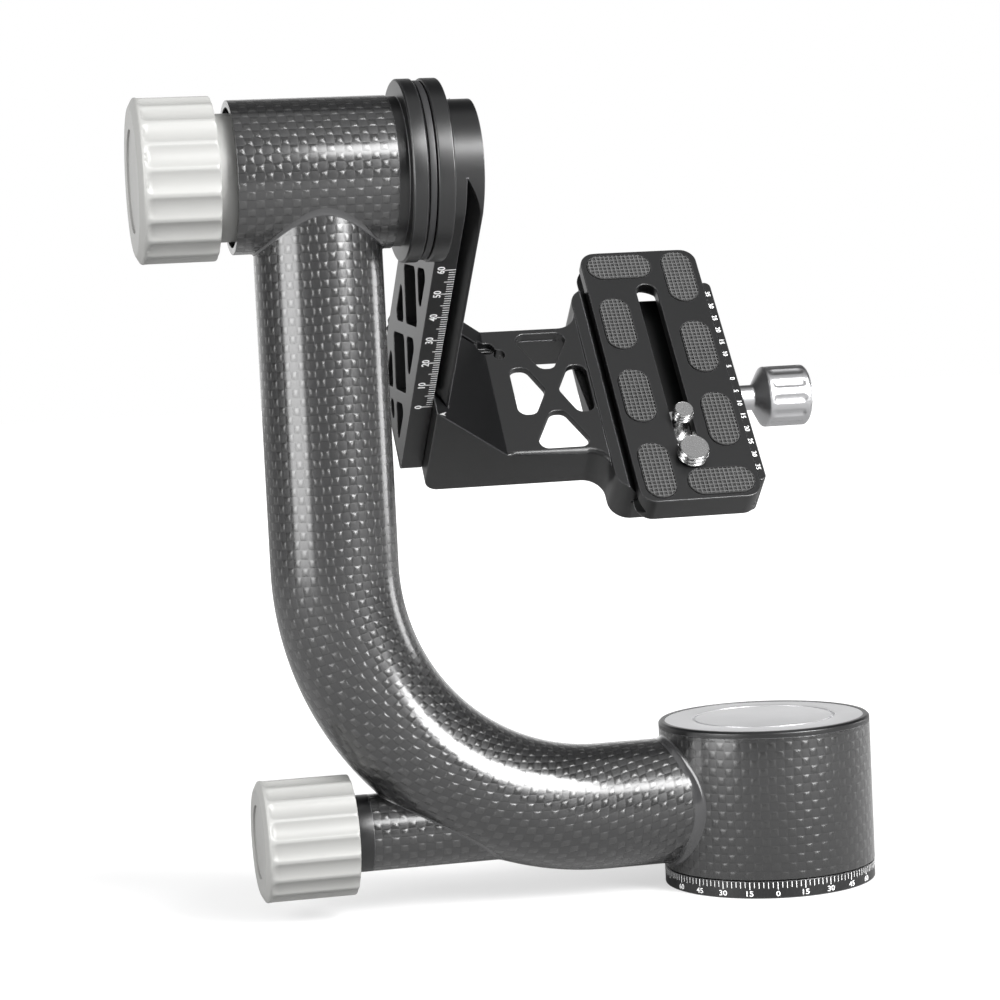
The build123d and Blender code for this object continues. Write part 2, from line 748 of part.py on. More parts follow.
def cradle_bracket():
    body = slab(cradle_plan(), cradle_top - 1, cradle_bottom + 1)
    body &= along_depth(cradle_side(), -clamp_half_length - 1, clamp_half_length + 1)
    inner = cradle_half_width - flange_wall
    slope = (platform_top - cradle_top) / cradle_slope_run
    thick = web_thickness * math.hypot(1, slope)
    under = platform_top + web_thickness
    start_down = cradle_top + slope * jaw_block_length + thick
    level_x = jaw_block_right + (under - start_down) / slope
    room_end = jaw_back - hollow_end_wall
    room = outline([(jaw_block_right, start_down), (level_x, under), (room_end, under),
                    (room_end, cradle_bottom + 1), (jaw_block_right, cradle_bottom + 1)])
    hollow = along_depth(room, -inner, inner)
    beam_end = cradle_left + slit_length + slit_beam_end
    beam_side = slit_offset - slit_beam_wall
    beam = outline([(cradle_left, beam_side), (beam_end, beam_side), (beam_end, inner + 1),
                    (cradle_left, inner + 1)])
    body -= hollow - slab(beam, cradle_top, cradle_bottom + 1)
    for points in platform_openings():
        body -= slab(outline(points, opening_round), platform_top - 1, platform_top + web_thickness + 1)
    body -= slab(outline(dovetail_outline(slide_gap, slide_gap + 1)), cradle_top - 1, cradle_bottom + 1)
    slit_end = dovetail_right + slit_length
    hole = (slit_end + slit_hole_run, slit_offset - slit_hole_run)
    near_side = slit_offset - slit_width / 2
    far_side = slit_offset + slit_width / 2
    slit = outline([(dovetail_right, near_side), (slit_end, near_side), hole,
                    (hole[0] + slit_hole_side, hole[1] + slit_hole_side),
                    (slit_end + slit_width / 2, far_side), (dovetail_right, far_side)])
    body -= slab(slit, cradle_top - 1, cradle_bottom + 1)
    body -= rod(slit_hole_radius, -cradle_bottom - 1, -cradle_top + 1, "z", hole)
    pocket = stadium(slit_pocket_length, 2 * slit_pocket_radius, slope_right, slit_offset, False)
    body -= slab(pocket, cradle_top - 1, platform_top + web_thickness)
    screw_end = slit_offset - height_screw_reach
    body -= rod(height_screw_radius + running_gap, screw_end - 1, cradle_half_width + 1, "y",
                (height_knob_x, -height_knob_down))
    hole_end = clamp_base_right - clamp_screw_reach
    body -= rod(clamp_screw_radius + running_gap, hole_end, clamp_base_right + 1, "x", (0, -clamp_screw_down))
    for place in pin_places():
        body -= rod(pin_radius + running_gap, clamp_base_right - pin_length, clamp_base_right + 1, "x", place)
    return hang * body


def pin_places():
    """Where the two guide pins cross the clamp's floor, as distances back and up."""
    return [(side * pin_spacing / 2, -(clamp_floor + cradle_bottom) / 2) for side in (-1, 1)]


# ---------------------------------------------------------------- height lock

def height_lock_knob():
    near = cradle_half_width + turning_gap
    place = (height_knob_x, -height_knob_down)
    far = near + height_knob_length
    radius = height_knob_radius
    edge = height_knob_chamfer
    shape = [(0, near), (radius - height_knob_taper, near), (radius, near + height_knob_taper_length),
             (radius, far - edge), (radius - edge, far), (0, far)]
    knob = turned(shape, "y", place)
    for x, up in ring_of(height_knob_flutes, radius + height_flute_offset):
        knob -= rod(height_flute_radius, near - 1, far + 1, "y", (place[0] + x, place[1] + up))
    return hang * (knob - rod(height_screw_radius, near - 1, far - height_screw_cover, "y", place))


def height_lock_screw():
    far = cradle_half_width + turning_gap + height_knob_length - height_screw_cover
    near = slit_offset - height_screw_reach
    return hang * rod(height_screw_radius, near, far, "y", (height_knob_x, -height_knob_down))


# ---------------------------------------------------------------- clamp

def clamp_jaw():
    strip = jaw_outer - jaw_strip_width
    tip = groove_right + clamp_gap
    rise = strip - tip
    side = outline([(strip, jaw_land_top), (jaw_outer, jaw_land_top), (jaw_outer, cradle_bottom),
                    (jaw_inner, cradle_bottom), (jaw_inner, clamp_floor), (strip, clamp_floor),
                    (strip, plate_groove_down + rise), (tip, plate_groove_down),
                    (strip, plate_groove_down - rise)])
    wide = clamp_half_length
    plan = outline([(clamp_x, -wide), (jaw_outer, -wide), (jaw_outer, wide), (clamp_x, wide)])
    plan = fillet(plan.vertices().group_by(Axis.X)[-1], jaw_corner)
    jaw = along_depth(side, -wide - 1, wide + 1) & slab(plan, jaw_land_top - 1, cradle_bottom + 1)
    jaw -= rod(clamp_screw_radius + running_gap, jaw_inner - 1, jaw_outer + 1, "x", (0, -clamp_screw_down))
    for place in pin_places():
        jaw -= rod(pin_radius, jaw_inner - 1, jaw_outer - pin_cover, "x", place)
    return hang * jaw


def jaw_pins():
    start = clamp_base_right - pin_length + thread_end_room
    return group([hang * rod(pin_radius, start, jaw_outer - pin_cover, "x", place) for place in pin_places()])


def clamp_knob():
    left = jaw_outer + turning_gap
    neck = left + clamp_neck_length
    cone = neck + clamp_cone_length
    right = cone + clamp_knob_length
    radius = clamp_knob_radius
    edge = clamp_knob_chamfer
    shape = [(0, left), (clamp_neck_radius, left), (clamp_neck_radius, neck), (radius, cone),
             (radius, right - edge), (radius - edge, right), (0, right)]
    knob = turned(shape, "x", (0, -clamp_screw_down))
    start = cone + clamp_flute_start
    end = right - clamp_flute_end
    for back, up in ring_of(clamp_knob_flutes, radius + clamp_flute_offset, clamp_first_flute):
        place = (back, up - clamp_screw_down)
        knob -= rod(clamp_flute_radius, start, end, "x", place)
        for x in (start, end):
            knob -= Pos(x, *place) * Sphere(clamp_flute_radius)
    hole = rod(clamp_screw_radius, left - 1, cone + clamp_screw_entry, "x", (0, -clamp_screw_down))
    return hang * (knob - hole)


def clamp_screw():
    start = clamp_base_right - clamp_screw_reach + thread_end_room
    end = jaw_outer + turning_gap + clamp_neck_length + clamp_cone_length + clamp_screw_entry
    return hang * rod(clamp_screw_radius, start, end, "x", (0, -clamp_screw_down))


# ---------------------------------------------------------------- camera plate

def stadium(length, width, x, back, lengthwise):
    """A slot shape centred on a place; lengthwise ones run from front to back."""
    return Pos(x, back) * Rot(0, 0, 90 if lengthwise else 0) * SlotOverall(length, width)


def pad_shapes():
    """The eight pads, set out alike about the plate's middle."""
    shapes = []
    for turn in (1, -1):
        for number in range(3):
            back = plate_shift + turn * (pad_first - number * pad_pitch)
            shapes.append(stadium(pad_length, pad_width, clamp_x - turn * pad_column, back, True))
        back = plate_shift + turn * end_pad_along
        shapes.append(stadium(pad_length, pad_width, clamp_x - turn * end_pad_across, back, False))
    return shapes


def plate_slot(width, top, bottom):
    length = slot_back - slot_front + width
    return slab(stadium(length, width, clamp_x, (slot_back + slot_front) / 2, True), top, bottom)


def camera_plate():
    depth = plate_groove_depth
    side = outline([(plate_left, plate_top), (plate_right, plate_top),
                    (plate_right, plate_groove_down - depth),
                    (groove_right, plate_groove_down), (plate_right, plate_groove_down + depth),
                    (plate_right, plate_bottom), (plate_left, plate_bottom),
                    (plate_left, plate_groove_down + depth), (groove_left, plate_groove_down),
                    (plate_left, plate_groove_down - depth)])
    plan = outline([(plate_left, plate_front), (plate_right, plate_front), (plate_right, plate_back),
                    (plate_left, plate_back)], plate_corner)
    plate = along_depth(side, plate_front - 1, plate_back + 1)
    plate &= slab(plan, plate_top - 1, plate_bottom + 1)
    plate -= plate_slot(slot_width, plate_top - 1, slot_under + 1)
    plate -= plate_slot(slot_recess_width, slot_under, plate_bottom + 1)
    for shape in pad_shapes():
        plate -= slab(shape, plate_top - 1, plate_top + pad_recess)
    return hang * plate


def plate_pads():
    top = plate_top - pad_stand
    return group([hang * slab(shape, top, plate_top + pad_recess) for shape in pad_shapes()])


def camera_screw(radius, back):
    """A camera screw: thread above the plate, thin shank in its slot and a coin-slotted head below."""
    head_bottom = plate_bottom - screw_head_gap
    head_top = head_bottom - screw_head_height
    place = (clamp_x, back)
    seat = plate_top - pad_stand
    top = plate_top - screw_stand
    edge = camera_screw_chamfer
    screw = rod(screw_shank_radius, -head_top, -seat, "z", place)
    thread = [(0, -seat), (radius, -seat), (radius, -top - edge), (radius - edge, -top), (0, -top)]
    screw += turned(thread, "z", place)
    screw += rod(screw_head_radius, -head_bottom, -head_top, "z", place)
    slot = Box(2 * screw_head_radius + 2, coin_slot_width, 2 * coin_slot_depth)
    coin = Pos(clamp_x, back, -head_bottom) * slot
    return hang * (screw - coin)


def screw_clip(back):
    """The clip that keeps a camera screw in the slot."""
    low = -(plate_bottom - screw_head_gap - screw_head_height) + clip_gap
    bore = screw_shank_radius + running_gap
    return hang * tube(clip_radius, bore, low, low + clip_thickness, "z", (clamp_x, back))


# ---------------------------------------------------------------- all pieces

pan_bearings = [bearing(pan_shaft_radius, pan_bearing_radius, pan_bearing_width, start)
                for start in (boss_top, collar_high)]
tilt_axis = (0, tilt_height)
tilt_bearings = [bearing(tilt_shaft_radius, tilt_bearing_radius, tilt_bearing_width, start, "x", tilt_axis)
                 for start in (left_bearing, right_bearing)]

pieces = {
    "base_plate": base_plate(),
    "base_screws": base_screws(),
    "pan_spindle": pan_spindle(),
    "spindle_nut": spindle_nut(),
    "pan_inner_races": group([inner for inner, outer, balls in pan_bearings]),
    "pan_bearing_balls": group([ball for inner, outer, balls in pan_bearings for ball in balls]),
    "pan_outer_races": group([outer for inner, outer, balls in pan_bearings]),
    "pan_housing": pan_housing(),
    "base_sleeve": base_sleeve(),
    "top_ring": top_ring(),
    "top_cap": top_cap(),
    "carbon_arm": carbon_arm(),
    "upper_tube": upper_tube(),
    "tilt_housing": tilt_housing(),
    "tilt_outer_races": group([outer for inner, outer, balls in tilt_bearings]),
    "pan_lock_tube": pan_lock_tube(),
    "pan_lock_collar": pan_lock_collar(),
    "pan_brake_pad": pan_brake_pad(),
    "tilt_inner_races": group([inner for inner, outer, balls in tilt_bearings]),
    "tilt_bearing_balls": group([ball for inner, outer, balls in tilt_bearings for ball in balls]),
    "tilt_spindle": tilt_spindle(),
    "friction_ring": friction_ring(),
    "spindle_bolts": spindle_bolts(),
    "swing_arm": swing_arm(),
    "tilt_lock_knob": tilt_lock_knob(),
    "tilt_knob_cap": knob_cap(tilt_knob_left, tilt_knob_face_radius, tilt_axis),
    "tilt_lock_stud": tilt_lock_stud(),
    "tilt_thrust_washer": tilt_thrust_washer(),
    "pan_lock_knob": pan_lock_knob(),
    "pan_knob_cap": knob_cap(pan_knob_left, pan_knob_face_radius, (0, lock_axis_height)),
    "pan_lock_rod": pan_lock_rod(),
    "cradle_bracket": cradle_bracket(),
    "height_lock_knob": height_lock_knob(),
    "height_lock_screw": height_lock_screw(),
    "clamp_jaw": clamp_jaw(),
    "jaw_pins": jaw_pins(),
    "clamp_knob": clamp_knob(),
    "clamp_screw": clamp_screw(),
    "camera_plate": camera_plate(),
    "plate_pads": plate_pads(),
    "quarter_screw": camera_screw(quarter_radius, quarter_place),
    "quarter_clip": screw_clip(quarter_place),
    "large_screw": camera_screw(large_radius, slot_front),
    "large_clip": screw_clip(slot_front),
}

os.makedirs("parts", exist_ok=True)
for name, piece in pieces.items():
    export_step(piece, f"parts/{name}.step")
    print(name, len(piece.solids()), round(piece.volume, 1))
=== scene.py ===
import json
import math
import bmesh
import bpy
from mathutils import Matrix, Vector


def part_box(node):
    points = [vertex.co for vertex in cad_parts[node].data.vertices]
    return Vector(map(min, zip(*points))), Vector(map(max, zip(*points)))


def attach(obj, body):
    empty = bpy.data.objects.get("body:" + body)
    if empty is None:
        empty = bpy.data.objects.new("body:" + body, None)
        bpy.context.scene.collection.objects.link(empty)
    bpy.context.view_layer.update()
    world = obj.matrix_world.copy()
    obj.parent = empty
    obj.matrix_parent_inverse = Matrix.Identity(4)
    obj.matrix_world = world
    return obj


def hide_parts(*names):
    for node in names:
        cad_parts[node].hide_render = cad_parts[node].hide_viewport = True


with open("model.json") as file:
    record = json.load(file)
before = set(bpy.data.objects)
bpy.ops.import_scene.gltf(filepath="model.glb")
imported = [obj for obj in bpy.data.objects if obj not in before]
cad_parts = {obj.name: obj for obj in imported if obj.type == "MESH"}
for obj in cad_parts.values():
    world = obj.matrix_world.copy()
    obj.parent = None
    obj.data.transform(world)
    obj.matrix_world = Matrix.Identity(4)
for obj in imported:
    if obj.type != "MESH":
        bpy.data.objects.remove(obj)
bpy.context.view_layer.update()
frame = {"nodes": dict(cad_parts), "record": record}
print("stage: frame loaded")

# lengths are in millimetres; a piece of the swing is drawn hanging straight down and then turned with it
swing = {"axisHeight": 205.59, "angle": 49.09}
cellLength = 2.42  # one cell of the carbon cloth along a tube
weldDistance = 2e-6  # in metres, as mesh points are
millimetre = 0.001
scene = bpy.context.scene
turn = Matrix.Rotation(math.radians(swing["angle"]), 3, "X")
materials = {}


def hung(x, back, up):  # from the hanging drawing to the part's frame
    point = turn @ Vector((x, back, up))
    return Vector((point.x, point.y, point.z + swing["axisHeight"]))


def unhung(point):  # from a mesh point in metres back to the hanging drawing
    return turn.transposed() @ (point / millimetre - Vector((0, 0, swing["axisHeight"])))


def alongX(y, z):
    return lambda place, a, b: Vector((place, y + a, z + b))


def alongZ(x, y):
    return lambda place, a, b: Vector((x + a, y + b, place))


def hungAlongX(back, up):
    return lambda place, a, b: hung(place, back + a, up + b)


def hungAlongUp(x, back):
    return lambda place, a, b: hung(x + a, back + b, place)


def hungAlongBack(x, up):
    return lambda place, a, b: hung(x + a, place, up + b)


def rounded(points, closed=True, steps=4):  # points are (radius, place, rounding); corners become short arcs
    result = []
    count = len(points)
    for i, (radius, place, size) in enumerate(points):
        here = Vector((radius, place))
        if size == 0 or (not closed and i in (0, count - 1)):
            result.append((radius, place))
            continue
        before = Vector(points[i - 1][:2]) - here
        after = Vector(points[(i + 1) % count][:2]) - here
        reach = min(size, before.length * 0.48, after.length * 0.48)  # arcs never meet on a short run
        start = here + before.normalized() * reach
        end = here + after.normalized() * reach
        for k in range(steps + 1):
            t = k / steps
            spot = start * (1 - t) ** 2 + here * 2 * t * (1 - t) + end * t ** 2
            result.append((spot.x, spot.y))
    return result


def denser(outline, step):  # more rows along the long straight runs
    result = [outline[0]]
    for before, after in zip(outline, outline[1:]):
        pieces = max(1, int(math.dist(before, after) / step))
        for k in range(1, pieces + 1):
            t = k / pieces
            result.append((before[0] + (after[0] - before[0]) * t, before[1] + (after[1] - before[1]) * t))
    return result


def circleRow(placer, place, radius, steps):
    angles = [j * math.tau / steps for j in range(steps)]
    return [placer(place, radius * math.cos(a), radius * math.sin(a)) for a in angles]


def smoothed(mesh, sharpAngle):
    for polygon in mesh.polygons:
        polygon.use_smooth = True
    mesh.set_sharp_from_angle(angle=math.radians(sharpAngle))


def finished(name, mesh, sharpAngle=38):  # an object in the scene from a raw mesh, welded and facing outwards
    bm = bmesh.new()
    bm.from_mesh(mesh)
    bmesh.ops.remove_doubles(bm, verts=bm.verts, dist=weldDistance)
    bmesh.ops.dissolve_degenerate(bm, edges=bm.edges, dist=weldDistance / 2)
    bmesh.ops.recalc_face_normals(bm, faces=bm.faces)
    bm.to_mesh(mesh)
    bm.free()
    smoothed(mesh, sharpAngle)
    thing = bpy.data.objects.new(name, mesh)
    scene.collection.objects.link(thing)
    return thing


def skinMesh(name, rows, lengths=None, around=1, loop=False, capped=True, wrap=True):
    mesh = bpy.data.meshes.new(name)  # faces between rows of points; the UV map counts cells round and along
    bm = bmesh.new()
    layer = bm.loops.layers.uv.new("UVMap")
    verts = [[bm.verts.new(point * millimetre) for point in row] for row in rows]
    columns = len(rows[0])
    if lengths is None:
        lengths = list(range(len(rows)))
    spans = [(i, i + 1) for i in range(len(rows) - 1)]
    if loop:
        spans.append((len(rows) - 1, 0))
    for low, high in spans:
        for j in range(columns if wrap else columns - 1):
            k = (j + 1) % columns
            face = bm.faces.new((verts[low][j], verts[low][k], verts[high][k], verts[high][j]))
            cells = ((j, low), (j + 1, low), (j + 1, high), (j, high))
            for corner, (column, row) in zip(face.loops, cells):
                length = lengths(row, column) if callable(lengths) else lengths[row]
                corner[layer].uv = (column / columns * around, length)
    if capped and not loop:
        for row in (verts[0], verts[-1]):
            bm.faces.new(row)
    bm.to_mesh(mesh)
    bm.free()
    return mesh


def lathe(name, outline, placer, steps=96, around=1, closed=True, width=1.0, sharpAngle=38):
    lengths = [0.0]
    for before, after in zip(outline, outline[1:]):
        lengths.append(lengths[-1] + math.dist(after, before) / width)
    rows = [circleRow(placer, place, radius, steps) for radius, place in outline]
    mesh = skinMesh(name, rows, lengths, around, loop=closed, capped=False)
    return finished(name, mesh, sharpAngle)


def evaluated(thing):  # the piece with its modifiers applied, as a plain mesh
    graph = bpy.context.evaluated_depsgraph_get()
    mesh = bpy.data.meshes.new_from_object(thing.evaluated_get(graph), depsgraph=graph)
    thing.modifiers.clear()
    thing.data = mesh
    return thing


def setInputs(tree, node, inputs):  # an input is given a value or linked to another node's socket
    for key, value in inputs.items():
        if isinstance(value, bpy.types.NodeSocket):
            tree.links.new(value, node.inputs[key])
        else:
            node.inputs[key].default_value = value


def addNode(tree, kind, inputs=None, **settings):
    node = tree.nodes.new(kind)
    for key, value in settings.items():
        setattr(node, key, value)
    setInputs(tree, node, inputs or {})
    return node


def maths(tree, operation, first, second=0.0, third=0.0):
    return addNode(tree, "ShaderNodeMath", {0: first, 1: second, 2: third}, operation=operation).outputs[0]


def vectorMaths(tree, operation, *values):
    return addNode(tree, "ShaderNodeVectorMath", dict(enumerate(values)), operation=operation)


def newTree(name, inputs):
    tree = bpy.data.node_groups.new(name, "GeometryNodeTree")
    tree.interface.new_socket("Geometry", in_out="OUTPUT", socket_type="NodeSocketGeometry")
    tree.interface.new_socket("Geometry", in_out="INPUT", socket_type="NodeSocketGeometry")
    for label, kind in inputs:
        tree.interface.new_socket(label, in_out="INPUT", socket_type="NodeSocket" + kind)
    return tree, tree.nodes.new("NodeGroupInput").outputs, tree.nodes.new("NodeGroupOutput").inputs


def applyTree(thing, tree, values):  # runs a tree on a piece, with its inputs set by their identifiers
    modifier = thing.modifiers.new(tree.name, "NODES")
    modifier.node_group = tree
    for item in tree.interface.items_tree:
        if item.in_out == "INPUT" and item.name in values:
            modifier[item.identifier] = values[item.name]
    return evaluated(thing)


def paintedCopies(tree, result, item, points, rotation, material, weld=None):  # how both trees end
    copies = addNode(tree, "GeometryNodeInstanceOnPoints", {"Points": points, "Instance": item,
                                                            "Rotation": rotation}).outputs[0]
    real = addNode(tree, "GeometryNodeRealizeInstances", {0: copies}).outputs[0]
    if weld:
        real = addNode(tree, "GeometryNodeMergeByDistance", {0: real, "Distance": weld}).outputs[0]
    paint = addNode(tree, "GeometryNodeSetMaterial", {0: real, "Material": material})
    tree.links.new(paint.outputs[0], result[0])
    return tree


def repeatTree():  # copies of a piece from Centre on, each moved by Shift and turned by Turn about Axis
    inputs = (("Count", "Int"), ("Shift", "Vector"), ("Turn", "Float"), ("Axis", "Vector"),
              ("Centre", "Vector"), ("Material", "Material"))
    tree, given, result = newTree("Repeat", inputs)
    index = addNode(tree, "GeometryNodeInputIndex").outputs[0]
    step = addNode(tree, "ShaderNodeVectorMath", {0: given["Shift"], "Scale": index}, operation="SCALE")
    place = vectorMaths(tree, "ADD", step.outputs[0], given["Centre"]).outputs[0]
    points = addNode(tree, "GeometryNodePoints", {"Count": given["Count"], "Position": place}).outputs[0]
    angle = maths(tree, "MULTIPLY", index, given["Turn"])
    spin = addNode(tree, "FunctionNodeAxisAngleToRotation", {"Axis": given["Axis"], "Angle": angle})
    return paintedCopies(tree, result, given["Geometry"], points, spin.outputs[0], given["Material"],
                         weldDistance)


repeat = repeatTree()


def repeated(thing, count, material, shift=(0, 0, 0), angle=0.0, axis=(0, 0, 1), centre=(0, 0, 0),
             sharpAngle=38):
    applyTree(thing, repeat, {"Count": count, "Shift": [v * millimetre for v in shift], "Turn": angle,
                              "Axis": list(axis), "Centre": [v * millimetre for v in centre],
                              "Material": materials[material]})
    bm = bmesh.new()
    bm.from_mesh(thing.data)
    bmesh.ops.recalc_face_normals(bm, faces=bm.faces)
    bm.to_mesh(thing.data)
    bm.free()
    smoothed(thing.data, sharpAngle)
    return thing


def dress(thing, material, body, slot, *replaced):
    thing.data.materials.clear()
    thing.data.materials.append(materials[material])
    for polygon in thing.data.polygons:
        polygon.material_index = 0
    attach(thing, body)
    if replaced:
        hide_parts(*replaced)
    return thing


def edgesToRound(bm, region):  # between a front face and a flat top, in a region of the hanging drawing
    facing = turn.transposed()
    chosen = []
    for edge in bm.edges:
        if len(edge.link_faces) != 2:
            continue
        side, top = sorted((facing @ face.normal for face in edge.link_faces), key=lambda normal: normal.z)
        spots = [unhung(vert.co) for vert in edge.verts]
        ranges = (region["x"], region["back"], region["up"])
        inside = all(low < value < high for spot in spots for value, (low, high) in zip(spot, ranges))
        flat, front, upright = top.z > 0.99, side.y < -0.05, abs(side.z) < 0.02
        if inside and flat and front and upright:
            chosen.append(edge)
    return chosen


easing = {"segments": 2, "fromAngle": 28, "flatAngle": 0.3, "roundSegments": 6}


def machined(node, name, width, roundedEdge=None):  # a copy of a CAD piece with its edges eased by a width
    source = frame["nodes"][node].data
    mesh = bpy.data.meshes.new(name)
    mesh.from_pydata([v.co[:] for v in source.vertices], [], [p.vertices[:] for p in source.polygons])
    bm = bmesh.new()
    bm.from_mesh(mesh)
    bmesh.ops.remove_doubles(bm, verts=bm.verts, dist=weldDistance)
    bmesh.ops.dissolve_limit(bm, angle_limit=math.radians(easing["flatAngle"]), verts=bm.verts,
                             edges=bm.edges)
    bmesh.ops.recalc_face_normals(bm, faces=bm.faces)
    if roundedEdge:
        bmesh.ops.bevel(bm, geom=edgesToRound(bm, roundedEdge), offset=roundedEdge["radius"] * millimetre,
                        segments=easing["roundSegments"], profile=0.5, affect="EDGES", clamp_overlap=False)
    bm.to_mesh(mesh)
    bm.free()
    thing = bpy.data.objects.new(name, mesh)
    scene.collection.objects.link(thing)
    for polygon in mesh.polygons:
        polygon.use_smooth = True
    bevel = thing.modifiers.new("Bevel", "BEVEL")
    bevel.width = width * millimetre
    bevel.segments = easing["segments"]
    bevel.limit_method = "ANGLE"
    bevel.angle_limit = math.radians(easing["fromAngle"])
    bevel.use_clamp_overlap = False
    bevel.miter_outer = "MITER_ARC"
    weighted = thing.modifiers.new("Weighted", "WEIGHTED_NORMAL")
    weighted.keep_sharp = True
    return evaluated(thing)


def blend(tree, factor, low, high):
    return addNode(tree, "ShaderNodeMix", {0: factor, 6: low, 7: high}, data_type="RGBA").outputs[2]


def spread(tree, value, low, high):
    return addNode(tree, "ShaderNodeMapRange", {"Value": value, "To Min": low, "To Max": high}).outputs[0]


def noise(tree, place, scale, detail):
    return addNode(tree, "ShaderNodeTexNoise", {"Vector": place, "Scale": scale, "Detail": detail})


def newMaterial(name):
    material = bpy.data.materials.new(name)
    material.use_nodes = True
    tree = material.node_tree
    tree.nodes.clear()
    output = tree.nodes.new("ShaderNodeOutputMaterial")
    shader = tree.nodes.new("ShaderNodeBsdfPrincipled")
    tree.links.new(shader.outputs[0], output.inputs[0])
    materials[name] = material
    return tree, shader


# the pale tint listed here is the colour of the painted edge highlight on corners
surface = {"mottleScale": 60.0, "roughSpread": 0.18, "grainDepth": 0.05, "brushScale": 400.0,
           "brushDepth": 2.0, "edgeSize": 0.35, "paintedEdgeHighlightTint": (0.32, 0.32, 0.33, 1), "coatRoughness": 0.05}


def fineFinish(name, color, roughness, metallic=1.0, grain=9000, bump=0.05, mottle=0.12, edge=0.0, coat=0.0,
               brushed=None, specular=0.5):
    tree, shader = newMaterial(name)
    place = addNode(tree, "ShaderNodeTexCoord").outputs["Object"]
    fine = noise(tree, place, grain, 3.0).outputs[0]
    broad = noise(tree, place, surface["mottleScale"], 4.0).outputs[0]
    dark = tuple(c * (1 - mottle) for c in color) + (1,)
    light = tuple(min(1, c * (1 + mottle)) for c in color) + (1,)
    tint = blend(tree, broad, dark, light)
    vary = surface["roughSpread"]
    rough = spread(tree, fine, roughness * (1 - vary), roughness * (1 + vary))
    height = fine
    if brushed:
        stretched = addNode(tree, "ShaderNodeMapping", {"Vector": place, "Scale": brushed}).outputs[0]
        lines = noise(tree, stretched, surface["brushScale"], 4.0).outputs[0]
        height = maths(tree, "ADD", fine, maths(tree, "MULTIPLY", lines, surface["brushDepth"]))
    if edge:  # corners get a painted highlight: a paler tint where the surface turns
        size = surface["edgeSize"] * millimetre
        eased = addNode(tree, "ShaderNodeBevel", {"Radius": size}, samples=6).outputs[0]
        flat = addNode(tree, "ShaderNodeNewGeometry").outputs["Normal"]
        same = vectorMaths(tree, "DOT_PRODUCT", eased, flat).outputs["Value"]
        paintedEdgeHighlight = maths(tree, "MULTIPLY", maths(tree, "SUBTRACT", 1.0, same), edge)
        # the paler tint mixed in here is a painted edge highlight
        tint = blend(tree, maths(tree, "MINIMUM", paintedEdgeHighlight, 1.0), tint, surface["paintedEdgeHighlightTint"])
    relief = addNode(tree, "ShaderNodeBump", {"Strength": bump, "Height": height,
                                              "Distance": surface["grainDepth"] * millimetre}).outputs[0]
    setInputs(tree, shader, {"Base Color": tint, "Roughness": rough, "Metallic": metallic, "Normal": relief,
                             "Coat Weight": coat, "Coat Roughness": surface["coatRoughness"],
                             "Specular IOR Level": specular})


weave = {"wanderScale": 0.35, "wander": 0.22, "steepness": 2.6, "warpHeight": 0.12,
         "threadStretch": (1.2, 26), "threadHeight": 0.08, "threadTint": (0.7, 1.2), "beadEdge": (0.18, 0.5),
         "roughness": (0.46, 0.32), "ior": 1.5, "waveScale": 160.0, "waveHeight": 0.4, "skinDepth": 0.1,
         "skinRelief": 0.1, "skinRoughness": 0.17, "skinIor": 1.6}


